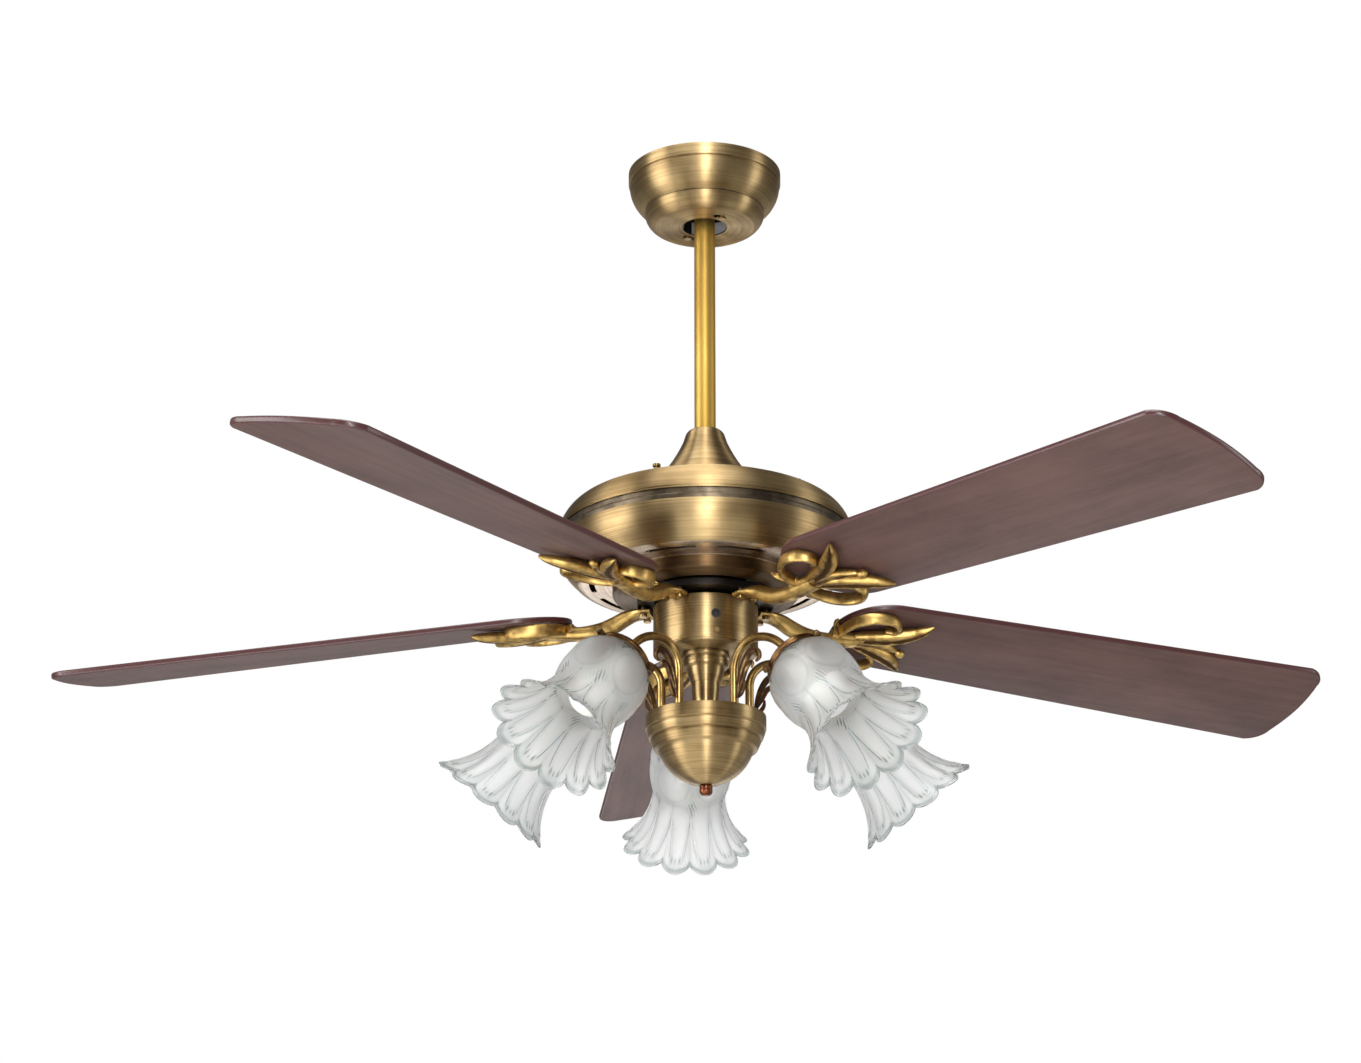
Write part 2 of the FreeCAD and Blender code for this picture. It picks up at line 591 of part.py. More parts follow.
def make_blade(number, azimuth):
    """Flat laminated board: round root, straight sides that widen outward, bowed tip with round corners."""
    name = "blade_%d" % number
    body = doc.addObject("PartDesign::Body", name + "_board")
    sketch = new_sketch(body, name + "_outline", "XY_Plane")
    length = s.blade_tip - s.blade_root
    half_root = s.blade_root_width * 0.5
    half_tip = s.blade_tip_width * 0.5
    shift = half_tip + 10
    corner = s.blade_corner
    draw_outline(sketch, [
        (half_root, shift - half_root), (length - corner, shift - half_tip, corner + 1),
        (length - s.blade_tip_rise, shift - half_tip + corner, 260),
        (length - s.blade_tip_rise, shift + half_tip - corner, corner + 1),
        (length - corner, shift + half_tip), (half_root, shift + half_root, half_root + 0.01)])
    pad = body.newObject("PartDesign::Pad", name + "_pad")
    pad.Profile = sketch
    pad.setExpression("Length", s.blade_thickness.text)
    place = blade_place(azimuth)
    body.Placement = FreeCAD.Placement(place.Base + place.Rotation.multVec(V(0, -shift.value, 0)),
        place.Rotation)
    up = place.Rotation.multVec(V(0, 0, 1))
    tools = []
    for along, across in BLADE_SCREWS:
        base = place.multVec(V(along, across, -1))
        tools.append(cylinder("blade_hole", s.wood_screw_radius + s.fit_gap, s.blade_thickness - 0.5, base,
            up))
    keep(bored(name, body, tools), name)


def arm_path():
    """Middle line of a blade iron's arm as (radius, depth) from the flywheel out to the blade."""
    root_depth = SIZES["flywheel_top"] + SIZES["flywheel_thickness"] + 4.5
    under_blade = SIZES["blade_root_depth"] + SIZES["iron_arm_radius"] + 3.0
    return [(SIZES["flywheel_radius"] + 1, root_depth), (86.0, root_depth + 2.5), (106.0, root_depth + 6.5),
            (SIZES["blade_root"] - 4, under_blade), (SIZES["blade_root"] + 22, under_blade + 0.5)]


# Plan of the iron's scrolled plate, outward from the blade's root and across it.
IRON_PLAN = ((2, -8), (-2, -24), (8, -24), (20, -40), (40, -46), (56, -38), (80, -46), (74, -26), (64, -8),
             (76, 0), (64, 8), (74, 26), (80, 46), (56, 38), (40, 46), (20, 40), (8, 24), (-2, 24), (2, 8))
IRON_WINDOWS = ((32.0, -30.0, 7.0), (32.0, 30.0, 7.0))


def make_iron(number, azimuth):
    """Cast arm: a bolted root block, a round bar that dips outward and a scrolled plate under the blade."""
    name = "blade_iron_%d" % number
    turn = FreeCAD.Rotation(V(0, 0, 1), azimuth)
    top = SIZES["flywheel_top"] + SIZES["flywheel_thickness"]
    width = SIZES["iron_root_width"]
    block = Part.makeBox(SIZES["iron_root_outer"] - SIZES["iron_root_inner"], width,
        SIZES["iron_root_thickness"],
                         V(SIZES["iron_root_inner"], -width / 2, -top - SIZES["iron_root_thickness"]))
    points = [V(radius, 0, -depth) for radius, depth in arm_path()]
    curve = Part.BSplineCurve()
    curve.interpolate(points)
    spine = Part.Wire([curve.toShape()])
    section = Part.Wire([Part.makeCircle(SIZES["iron_arm_radius"], points[0],
        curve.tangent(curve.FirstParameter)[0])])
    bar = spine.makePipeShell([section], True, False)
    place = blade_place(0.0, below=SIZES["iron_plate"] + 0.05)
    face = Part.Face(Part.makePolygon([V(x, y, 0) for x, y in IRON_PLAN + IRON_PLAN[:1]]))
    plate = face.extrude(V(0, 0, SIZES["iron_plate"]))
    for x, y, radius in IRON_WINDOWS:
        plate = plate.cut(Part.makeCylinder(radius, SIZES["iron_plate"] + 2, V(x, y, -1)))
    for x, y in BLADE_SCREWS:
        hole = SIZES["wood_screw_radius"] + SIZES["fit_gap"]
        plate = plate.cut(Part.makeCylinder(hole, SIZES["iron_plate"] + 2, V(x, y, -1)))
    plate.Placement = place
    casting = block.fuse([bar, plate])
    for side in (-0.5, 0.5):
        foot = V(SIZES["iron_screw_circle"], side * SIZES["iron_screw_spread"],
            -top - SIZES["iron_root_thickness"] - 1)
        hole = SIZES["machine_screw_radius"] + SIZES["fit_gap"]
        casting = casting.cut(Part.makeCylinder(hole, SIZES["iron_root_thickness"] + 2, foot))
    keep(featured(name, casting.removeSplitter(), FreeCAD.Placement(V(0, 0, 0), turn)), name)


def make_blade_screws():
    screws = []
    for azimuth in BLADE_AZIMUTHS:
        place = blade_place(azimuth)
        up = place.Rotation.multVec(V(0, 0, 1))
        for along, across in BLADE_SCREWS:
            head_height = 2.4
            base = place.multVec(V(along, across, -SIZES["iron_plate"] - 0.05 - head_height))
            head = cylinder("blade_screw_head", s.wood_screw_head, head_height, base, up)
            shank = cylinder("blade_screw_shank", s.wood_screw_radius, s.iron_plate + s.blade_thickness,
                base, up)
            screws.append(joined("blade_screw", [head, shank]))
    keep(gathered("blade_screws", screws), "blade_screws")


def make_iron_screws():
    screws = []
    for place in iron_screw_places():
        head_height = 2.2
        foot = place - V(0, 0, SIZES["iron_root_thickness"] + head_height)
        head = cylinder("iron_screw_head", s.machine_screw_head, head_height, foot)
        shank = cylinder("iron_screw_shank", s.machine_screw_radius, s.iron_root_thickness + 7, foot)
        screws.append(joined("iron_screw", [head, shank]))
    keep(gathered("iron_screws", screws), "iron_screws")


# ---------------------------------------------------------------- switch housing
def radial(azimuth):
    return polar(1.0, azimuth, 0)


def make_switch_housing():
    w = s.switch_wall
    r = s.switch_radius
    hub = s.shaft_radius + s.fit_gap
    can = turned("switch_can", [(hub, s.switch_top), (r - 1, s.switch_top), (r, s.switch_top + 1),
        (r, s.switch_bottom),
                                (r - w, s.switch_bottom), (r - w, s.switch_top + w),
                                (hub, s.switch_top + w)])
    lip_outer = r - w - 0.1
    lip_inner = lip_outer - w
    gap = s.switch_bottom + 0.4
    lid = turned("switch_lid", [
        (s.nipple_radius + s.fit_gap, gap + 1.6), (r - 0.2, gap + 1.6), (r - 0.2, gap), (lip_outer, gap),
        (lip_outer, s.switch_bottom - s.switch_lip), (lip_inner, s.switch_bottom - s.switch_lip),
        (lip_inner, gap + 0.4), (s.nipple_radius + s.fit_gap, gap + 0.4)])
    can_tools = []
    lid_tools = []
    screws = []
    hole = s.machine_screw_radius + s.fit_gap
    for azimuth in SWITCH_SCREW_AZIMUTHS:
        inside = polar(SIZES["switch_radius"] - 6, azimuth, -SIZES["switch_screw_depth"])
        outside = polar(SIZES["switch_radius"], azimuth, -SIZES["switch_screw_depth"])
        can_tools.append(cylinder("can_screw_hole", hole, 8, inside, radial(azimuth)))
        lid_tools.append(cylinder("lid_screw_hole", hole, 8, inside, radial(azimuth)))
        shank = cylinder("switch_screw_shank", s.machine_screw_radius, 7, inside, radial(azimuth))
        head = cylinder("switch_screw_head", s.machine_screw_head - 1, 1.6,
            outside + radial(azimuth) * 0.1, radial(azimuth))
        screws.append(joined("switch_screw", [shank, head]))
    port = polar(SIZES["switch_radius"] - 4, CHAIN_HOLE_AZIMUTH, -SIZES["chain_hole_depth"])
    can_tools.append(cylinder("chain_hole", s.chain_hole_radius, 8, port, radial(CHAIN_HOLE_AZIMUTH)))
    keep(bored("switch_housing", can, can_tools), "switch_housing")
    keep(bored("switch_plate", lid, lid_tools), "switch_plate")
    keep(gathered("switch_screws", screws), "switch_screws")
    sleeve = cylinder("grommet_sleeve", s.chain_hole_radius - s.fit_gap, 4.2, port,
        radial(CHAIN_HOLE_AZIMUTH))
    eye = cylinder("grommet_eye", s.chain_hole_radius - 1.4, 8, port + radial(CHAIN_HOLE_AZIMUTH) * 1.2,
        radial(CHAIN_HOLE_AZIMUTH))
    keep(bored("chain_grommet", sleeve, [eye]), "chain_grommet")
    keep(box("capacitor", (22, 36, 26), (14, -18, (s.switch_bottom + 0.7) * -1)), "capacitor")


# ---------------------------------------------------------------- light kit column
def make_column():
    bore = s.nipple_radius + s.fit_gap
    collar_top = s.switch_bottom + 2.1
    collar_bottom = collar_top + s.collar_height
    keep(turned("centre_tube", [(s.nipple_bore, s.nipple_top), (s.nipple_radius, s.nipple_top),
                                (s.nipple_radius, s.nipple_bottom), (s.nipple_bore, s.nipple_bottom)]),
                                "centre_tube")
    keep(turned("column_collar", [
        (bore, collar_top), (s.collar_radius - 1.2, collar_top), (s.collar_radius, collar_top + 1.6),
        (s.collar_radius, collar_bottom - 1.4), (s.collar_radius - 1, collar_bottom),
        (bore, collar_bottom)]), "column_collar")
    top = collar_bottom + 0.1
    r = s.funnel_radius
    keep(turned("funnel", [
        (bore, top), (r - 1.4, top), (r - 1.4, top + 0.8), (r, top + 1.6), (r, top + 4),
        (r - 0.5, top + 4.4), (r, top + 4.8),
        (r, top + 8), (r - 3.4, top + 10, 46), (s.funnel_waist + 1.8, top + 25, 90),
        (s.funnel_waist, top + 44),
        (s.funnel_waist + 1.6, s.cup_top - 0.1), (bore, s.cup_top - 0.1)]), "funnel")


def make_cup():
    """Spun cup: a plain band, two stepped beads and a round bottom, closed above by the arm plate."""
    w = s.sheet_wall
    r = s.cup_radius
    bore = s.nipple_radius + s.fit_gap
    centre = s.cup_bottom - root(s.cup_sphere * s.cup_sphere - Dim(6.2) * 6.2)
    low = s.cup_top + 35
    ball_top = root(s.cup_sphere * s.cup_sphere - (low - centre) * (low - centre))
    keep(turned("light_cup", [
        (r, s.cup_top), (r, s.cup_top + 12.8), (r - 1.6, s.cup_top + 13.8), (r - 1.2, s.cup_top + 15),
        (r - 3.4, s.cup_top + 21.8), (r - 5.6, s.cup_top + 23), (r - 5.2, s.cup_top + 24.2),
        (r - 8.6, s.cup_top + 32.6),
        (ball_top + 0.8, s.cup_top + 34), (ball_top, low, s.cup_sphere), (6.2, s.cup_bottom),
        (bore, s.cup_bottom),
        (bore, s.cup_bottom - w), (6.2, s.cup_bottom - w - 0.1, (s.cup_sphere - w) * -1),
        (ball_top - w, low - 0.6),
        (r - 8.6 - w, s.cup_top + 31.4), (r - 5.6 - w, s.cup_top + 21.6), (r - 1.6 - w, s.cup_top + 13),
        (r - w, s.cup_top + 12),
        (r - w, s.cup_top)]), "light_cup")
    plate = turned("arm_plate_blank", [
        (bore, s.cup_top), (r - w - 0.1, s.cup_top), (r - w - 0.1, s.cup_top + s.arm_plate_thickness),
        (bore, s.cup_top + s.arm_plate_thickness)])
    tools = []
    for azimuth in ARM_AZIMUTHS:
        base = polar(SIZES["arm_foot_radius"], azimuth,
            -SIZES["cup_top"] - SIZES["arm_plate_thickness"] - 1)
        tools.append(cylinder("arm_hole", s.arm_tube + s.fit_gap, s.arm_plate_thickness + 2, base))
    keep(bored("arm_plate", plate, tools), "arm_plate")
    top = s.cup_bottom + 0.1
    end = top + s.finial_length
    keep(turned("finial", [
        (bore, top), (s.finial_radius - 0.6, top), (s.finial_radius, top + 1.4),
        (s.finial_radius, top + 7), (s.finial_radius - 1, top + 9),
        (s.finial_radius - 3, end), (0, end), (0, s.nipple_bottom + 0.4), (bore, s.nipple_bottom + 0.4)]),
        "finial")


# ---------------------------------------------------------------- light arms and lamps
def make_light_arm(number, azimuth, swivel):
    """Bent brass tube: straight up from the plate, over in a tight bend, then a wide bend down to the cap.
    It stops short of a swivelled cap by what that cap's back leans into it."""
    name = "light_arm_%d" % number
    tilt = math.radians(SIZES["lamp_tilt"])
    reach = s.cap_radius_out - s.arm_foot_radius - s.arm_inner_bend - s.arm_end_run * math.cos(tilt)
    wide_bend = reach / math.sin(tilt)
    apex = s.cap_depth - s.arm_end_run * math.sin(tilt) - wide_bend * (1 - math.cos(tilt))
    apex_radius = s.arm_foot_radius + s.arm_inner_bend
    foot = s.cup_top + s.arm_plate_thickness + 3
    short = SIZES["arm_tube"] * math.sin(math.radians(abs(swivel)) * math.cos(tilt))
    body = doc.addObject("PartDesign::Body", name + "_tube")
    path = new_sketch(body, name + "_path", "XZ_Plane")
    draw_outline(path, [
        (s.arm_foot_radius, foot), (s.arm_foot_radius, apex + s.arm_inner_bend, s.arm_inner_bend),
        (apex_radius, apex, wide_bend),
        (s.cap_radius_out - s.arm_end_run * math.cos(tilt), s.cap_depth - s.arm_end_run * math.sin(tilt)),
        (s.cap_radius_out - short * math.cos(tilt), s.cap_depth - short * math.sin(tilt))], closed=False)
    ring = new_sketch(body, name + "_section", "XY_Plane", foot)
    for radius in (s.arm_tube, s.arm_tube_bore):
        edge = ring.addGeometry(Part.Circle(V(SIZES["arm_foot_radius"], 0, 0), V(0, 0, 1), radius.value),
            False)
        constrain(ring, "Radius", (edge,), radius)
        pin_point(ring, edge, 3, (s.arm_foot_radius, Dim(0)))
    pipe = body.newObject("PartDesign::AdditivePipe", name + "_pipe")
    pipe.Profile = ring
    pipe.Spine = (path, ["Edge1", "Edge2", "Edge3", "Edge4"])
    body.Placement = FreeCAD.Placement(V(0, 0, 0), FreeCAD.Rotation(V(0, 0, 1), azimuth)).multiply(DOWNWARD)
    keep(body, name)


def lamp_place(azimuth, swivel):
    """Frame of one lamp: Z runs from the back of its cap out through the mouth of the glass."""
    turn = FreeCAD.Rotation(V(0, 0, 1), azimuth + swivel)
    lean = FreeCAD.Rotation(V(0, 1, 0), 90 + SIZES["lamp_tilt"])
    return FreeCAD.Placement(polar(SIZES["cap_radius_out"], azimuth, -SIZES["cap_depth"]),
        turn.multiply(lean))


def make_glass(number, azimuth, swivel):
    """Pressed glass shade: plain neck, round bulge, waist and a wide flared mouth."""
    name = "glass_shade_%d" % number
    w = s.glass_wall
    neck = s.glass_neck
    lip = s.cap_length - 4.4
    keep(turned(name, [
        (neck - w, lip), (neck, lip), (neck, s.cap_length + 0.8), (neck + 2.4, s.cap_length + 2, 26),
        (s.glass_bulge, s.cap_length + 27, 60), (s.glass_waist, s.cap_length + 59, -84),
        (s.glass_mouth, s.glass_length),
        (s.glass_mouth - w * 0.7, s.glass_length + 0.5, 81), (s.glass_waist - w, s.cap_length + 59, -57),
        (s.glass_bulge - w, s.cap_length + 27, -23), (neck - w + 2, s.cap_length + 3.6),
        (neck - w, s.cap_length + 1.6)],
        lamp_place(azimuth, swivel)), name)


def copies(name, master, places):
    """One node that holds a copy of the master at each place."""
    shapes = []
    for place in places:
        shape = master.Shape.copy()
        shape.Placement = place.multiply(master.Placement)
        shapes.append(shape)
    keep(featured(name, Part.makeCompound(shapes)), name)


def make_lamps():
    """Caps, thumb screws, sockets and bulbs, one of each drawn once and copied to the five arms."""
    at_origin = FreeCAD.Placement()
    w = s.cap_wall
    r = s.cap_radius
    end = s.cap_length
    cap = turned("cap_master", [
        (0, 0.05), (6.4, 0.05), (8.4, 1.2), (9.4, 4.4, -30), (r - 3, 9), (r, 12), (r, end), (r - w, end),
        (r - w, 12.6), (r - 3.8, 10.2, 29), (9, 6), (0, 6)], at_origin)
    screw_height = 15.2
    tools = []
    screws = []
    for azimuth in (60.0, 180.0, 300.0):
        base = polar(SIZES["glass_neck"] + 0.1, azimuth, screw_height)
        tools.append(cylinder("thumb_hole", 1.65, 6, base, radial(azimuth)))
        shank = cylinder("thumb_shank", 1.6, 5, base, radial(azimuth))
        knob = cylinder("thumb_knob", 3.4, 4.4, polar(SIZES["cap_radius"] + 0.8, azimuth, screw_height),
            radial(azimuth))
        screws.append(joined("thumb_screw", [shank, knob]))
    cap = bored("bored_cap_master", cap, tools)
    screws = gathered("thumb_screw_master", screws)
    socket = turned("socket_master", [
        (0, 6.1), (8.6, 6.1), (8.6, 11), (13, 11), (13, 36), (s.bulb_cap + 0.15, 36),
        (s.bulb_cap + 0.15, 13), (0, 13)], at_origin)
    neck = Dim(9.0)
    shoulder = s.bulb_centre - root(s.bulb_radius * s.bulb_radius - neck * neck)
    bulb = turned("bulb_master", [
        (0, 13.4), (s.bulb_cap, 13.4), (s.bulb_cap, 37), (neck, shoulder, s.bulb_radius),
        (0, s.bulb_centre + s.bulb_radius)], at_origin)
    doc.recompute()
    places = [lamp_place(azimuth, swivel) for azimuth, swivel in zip(ARM_AZIMUTHS, LAMP_TURNS)]
    copies("shade_caps", cap, places)
    copies("thumb_screws", screws, places)
    copies("lamp_sockets", socket, places)
    copies("bulbs", bulb, places)


# Outline of a cast leaf inside the crook of an arm, as (radius, depth).
LEAF_PLAN = ((48.9, 566), (52.5, 548), (58, 532), (68, 520.5), (80, 519), (84, 526), (77, 531),
    (70, 531.5), (64, 542), (57, 556), (51.5, 567))
LEAF_THICKNESS = 7.0


def make_leaves():
    shapes = []
    half = LEAF_THICKNESS / 2
    ring = [V(radius, -half, -depth) for radius, depth in LEAF_PLAN + LEAF_PLAN[:1]]
    leaf = Part.Face(Part.makePolygon(ring)).extrude(V(0, LEAF_THICKNESS, 0))
    for azimuth in ARM_AZIMUTHS:
        copy = leaf.copy()
        copy.Placement = FreeCAD.Placement(V(0, 0, 0), FreeCAD.Rotation(V(0, 0, 1), azimuth))
        shapes.append(copy)
    keep(featured("arm_leaves", Part.makeCompound(shapes)), "arm_leaves")


def build():
    make_bracket()
    make_ball_joint()
    make_canopy()
    make_rod()
    make_coupling()
    make_yoke_cover()
    make_upper_housing()
    make_trim_band()
    make_lower_housing()
    make_motor()
    make_flywheel()
    for number, azimuth in enumerate(BLADE_AZIMUTHS, start=1):
        make_iron(number, azimuth)
        make_blade(number, azimuth)
    make_blade_screws()
    make_iron_screws()
    make_switch_housing()
    make_column()
    make_cup()
    for number, (azimuth, swivel) in enumerate(zip(ARM_AZIMUTHS, LAMP_TURNS), start=1):
        make_light_arm(number, azimuth, swivel)
        make_glass(number, azimuth, swivel)
    make_lamps()
    make_leaves()
    doc.recompute()


def check():
    for item in doc.Objects:
        if "Invalid" in item.State or "Error" in item.State:
            raise RuntimeError("%s (%s) did not compute: %s" % (item.Name, item.Label, item.State))
    for node in nodes:
        if node.Shape.isNull() or not node.Shape.isValid() or not node.Shape.Solids:
            raise RuntimeError("%s has no sound solid" % node.Label)


def export():
    os.makedirs("parts", exist_ok=True)
    for node in nodes:
        node.Shape.exportStep("parts/%s.step" % node.Label)
        print("%-20s %2d solids %10.1f mm3" % (node.Label, len(node.Shape.Solids), node.Shape.Volume))


build()
check()
export()
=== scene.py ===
import math

import bmesh
import bpy
import numpy as np
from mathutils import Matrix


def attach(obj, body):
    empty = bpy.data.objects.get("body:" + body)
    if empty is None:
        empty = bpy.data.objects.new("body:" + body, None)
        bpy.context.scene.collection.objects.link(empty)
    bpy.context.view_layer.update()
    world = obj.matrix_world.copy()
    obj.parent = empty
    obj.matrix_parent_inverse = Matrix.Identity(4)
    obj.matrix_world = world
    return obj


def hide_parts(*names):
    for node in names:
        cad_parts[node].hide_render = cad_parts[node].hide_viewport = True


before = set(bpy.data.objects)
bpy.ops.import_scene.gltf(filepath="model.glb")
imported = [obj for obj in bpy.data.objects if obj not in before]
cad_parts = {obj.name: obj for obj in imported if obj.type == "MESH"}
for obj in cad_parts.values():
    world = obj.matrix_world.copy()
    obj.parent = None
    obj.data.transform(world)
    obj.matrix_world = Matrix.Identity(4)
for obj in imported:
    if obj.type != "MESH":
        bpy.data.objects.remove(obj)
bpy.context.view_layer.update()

# ---------------------------------------------------------------- ceiling bracket, ball and canopy
# The canopy is spun from thin brass sheet, brushed round and round, then stained and lacquered. It
# hides a zinc plated bracket and the hanger ball, and two screws hold it up through keyhole slots.

MM = 0.001


def tint(red, green, blue):
    """A display colour of 0 to 255 as the linear colour that shaders take."""
    values = np.array([red, green, blue]) / 255
    return (*np.where(values > 0.04045, ((values + 0.055) / 1.055) ** 2.4, values / 12.92), 1.0)


class Wire:
    """A node's output that can stand in a sum: each operator adds the Math node that works it out."""

    def __init__(self, tree, socket):
        self.tree = tree
        self.socket = socket

    def node(self, kind, inputs, output=0, **settings):
        """Any node: its settings first, then a value or a link for each of its inputs."""
        made = self.tree.nodes.new(kind)
        for name, value in settings.items():
            setattr(made, name, value)
        for place, value in inputs.items():
            if isinstance(value, Wire):
                self.tree.links.new(value.socket, made.inputs[place])
            else:
                made.inputs[place].default_value = value
        return Wire(self.tree, made.outputs[output])

    def maths(self, operation, *values):
        return self.node("ShaderNodeMath", dict(enumerate(values)), operation=operation)

    def __add__(self, other):
        return self.maths("ADD", self, other)

    def __sub__(self, other):
        return self.maths("SUBTRACT", self, other)

    def __rsub__(self, other):
        return self.maths("SUBTRACT", other, self)

    def __mul__(self, other):
        return self.maths("MULTIPLY", self, other)

    def __truediv__(self, other):
        return self.maths("DIVIDE", self, other)

    def __pow__(self, other):
        return self.maths("POWER", self, other)

    __radd__ = __add__
    __rmul__ = __mul__

    def stretched(self, x, y, z):
        return self.node("ShaderNodeVectorMath", {0: self, 1: (x, y, z)}, operation="MULTIPLY")

    def split(self):
        return [self.node("ShaderNodeSeparateXYZ", {0: self}, output=axis) for axis in range(3)]

    def joined(self, x, y, z):
        return self.node("ShaderNodeCombineXYZ", {0: x, 1: y, 2: z})

    def noise(self, scale, detail=3.0, roughness=0.5):
        return self.node("ShaderNodeTexNoise", {
            "Vector": self, "Scale": scale, "Detail": detail, "Roughness": roughness})

    def between(self, low, high, start=0.0, end=1.0):
        """start below low, end above high, and a smooth change from one to the other."""
        return self.node("ShaderNodeMapRange", {0: self, 1: low, 2: high, 3: start, 4: end},
                         interpolation_type="SMOOTHSTEP")

    def colours(self, first, second):
        """The first colour where this value is 0, the second where it is 1."""
        return self.node("ShaderNodeMix", {0: self, 6: first, 7: second}, output=2, data_type="RGBA")

    def bump(self, strength, distance):
        return self.node("ShaderNodeBump", {"Height": self, "Strength": strength, "Distance": distance})


class Finish:
    """A material with one Principled shader. Fixed values are set on it, changing ones are joined to it."""

    def __init__(self, name, **fixed):
        self.material = bpy.data.materials.new(name)
        self.material.use_nodes = True
        self.tree = self.material.node_tree
        self.shader = self.tree.nodes["Principled BSDF"]
        for socket, value in fixed.items():
            self.shader.inputs[socket.replace("_", " ")].default_value = value
        self.start = Wire(self.tree, None)
        self.place = self.start.node("ShaderNodeTexCoord", {}, output=3)

    def attribute(self, name, output="Fac"):
        return self.start.node("ShaderNodeAttribute", {}, output=output, attribute_name=name)

    def join(self, **wires):
        for socket, wire in wires.items():
            self.tree.links.new(wire.socket, self.shader.inputs[socket.replace("_", " ")])
        return self.material


def brushed_round(name, light, dark, gloss=0.4, cloud=0.45):
    """Metal brushed round the upright axis: noise that is long round the axis and very short up it."""
    finish = Finish(name, Metallic=1.0, Anisotropic=0.93, Anisotropic_Rotation=0.25)
    x, y, z = finish.place.split()
    radius = (x * x + y * y + 1e-8) ** 0.5
    ring = finish.start.joined(x / radius * 0.5, y / radius * 0.5, z * 700 + radius * 500)
    lines = ring.noise(1.0, 4.0, 0.7)
    wide = finish.start.joined(x / radius * 0.8, y / radius * 0.8, z * 60 + radius * 40).noise(1.0, 2.0)
    stain = finish.place.noise(18.0, 3.0)
    shade = (lines * 0.45 + wide * 0.3 + stain * cloud).between(0.35, 0.85)
    return finish.join(
        Base_Color=shade.colours(light, dark),
        Roughness=lines * 0.16 + (gloss - 0.05) + stain * 0.06,
        Normal=lines.bump(0.12, 0.0002))


def cast_or_plated(name, light, dark, gloss, metallic=1.0, grain=260.0, relief=0.1, patches=30.0):
    """Plain metal or plastic: fine grain in its gloss and relief, and broad patches in its colour."""
    finish = Finish(name, Metallic=metallic)
    fine = finish.place.noise(grain, 3.0)
    broad = finish.place.noise(patches, 3.0)
    return finish.join(
        Base_Color=broad.between(0.3, 0.7).colours(light, dark),
        Roughness=fine * 0.14 + broad * 0.1 + (gloss - 0.1),
        Normal=fine.bump(relief, 0.0002))


antique_brass = brushed_round("antique_brass", tint(184, 160, 116), tint(116, 93, 60))
screw_brass = cast_or_plated("screw_brass", tint(170, 145, 96), tint(120, 98, 60), 0.3)
bright_steel = cast_or_plated("bright_steel", tint(190, 190, 188), tint(150, 150, 152), 0.3)
# This black finish is real black plastic on the hanger ball, capacitor and grommet, and painted shade on the
# canopy's inside.
black_plastic = cast_or_plated("black_plastic", tint(20, 19, 18), tint(10, 10, 10), 0.6, metallic=0.0)


def dress(material, *nodes):
    """Gives CAD nodes a finish."""
    for node in nodes:
        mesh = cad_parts[node].data
        mesh.materials.clear()
        mesh.materials.append(material)


def outline(corners, closed=True, fineness=2.5):
    """Corners (radius, depth) or (radius, depth, bend) as a dense line of points. A bend makes the next side
    a circular arc of that radius, turning left if positive: centre + radius * (cos a, sin a)."""
    places = [np.array(corner[:2], float) for corner in corners]
    bends = [corner[2] if len(corner) > 2 else 0 for corner in corners]
    runs = []
    for start, end, bend in zip(places, places[1:] + places[:1] * closed, bends):
        chord = end - start
        if not bend:
            runs.append(start[None])
            continue
        reach = math.sqrt(max(bend * bend - chord @ chord / 4, 0.0))
        side = np.array([-chord[1], chord[0]]) / np.linalg.norm(chord) * math.copysign(reach, bend)
        centre = (start + end) / 2 + side
        first = math.atan2(*(start - centre)[::-1])
        turn = math.remainder(math.atan2(*(end - centre)[::-1]) - first, 2 * math.pi)
        count = max(int(abs(turn) * abs(bend) / fineness), 4)
        angle = first + turn * np.arange(count) / count
        runs.append(centre + abs(bend) * np.stack([np.cos(angle), np.sin(angle)], 1))
    if not closed:
        runs.append(places[-1][None])
    return np.concatenate(runs)


def eased(line, size=0.35, steps=4):
    """Rounds the sharp corners of a closed line. Near a corner c it follows (1-t)^2 a + 2t(1-t) c + t^2 b,
    where a and b lie up to that size back along the two sides. Shallow corners stay as they are."""
    before = np.roll(line, 1, 0) - line
    after = np.roll(line, -1, 0) - line
    lengths = [np.linalg.norm(side, axis=1, keepdims=True) for side in (before, after)]
    cosine = (before * after).sum(1, keepdims=True) / (lengths[0] * lengths[1] + 1e-12)
    sharp = (cosine > -0.94) & (line[:, :1] > 1e-6)
    pull = [np.where(sharp, np.minimum(size, 0.4 * length), 0) / (length + 1e-12) for length in lengths]
    t = np.linspace(0, 1, steps)[None, :, None]
    first = (line + before * pull[0])[:, None]
    last = (line + after * pull[1])[:, None]
    curve = ((1 - t) ** 2 * first + 2 * t * (1 - t) * line[:, None] + t ** 2 * last).reshape(-1, 2)
    return curve[np.linalg.norm(curve - np.roll(curve, 1, 0), axis=1) > 1e-5]


def quads(rows, columns, rows_wrap=False):
    """Faces of a grid of points, row by row. Its columns always close on themselves."""
    i = np.arange(rows - (not rows_wrap))[:, None]
    j = np.arange(columns)[None]
    below = (i + 1) % rows * columns
    right = (j + 1) % columns
    return np.stack([i * columns + j, i * columns + right, below + right, below + j], -1).reshape(-1, 4)


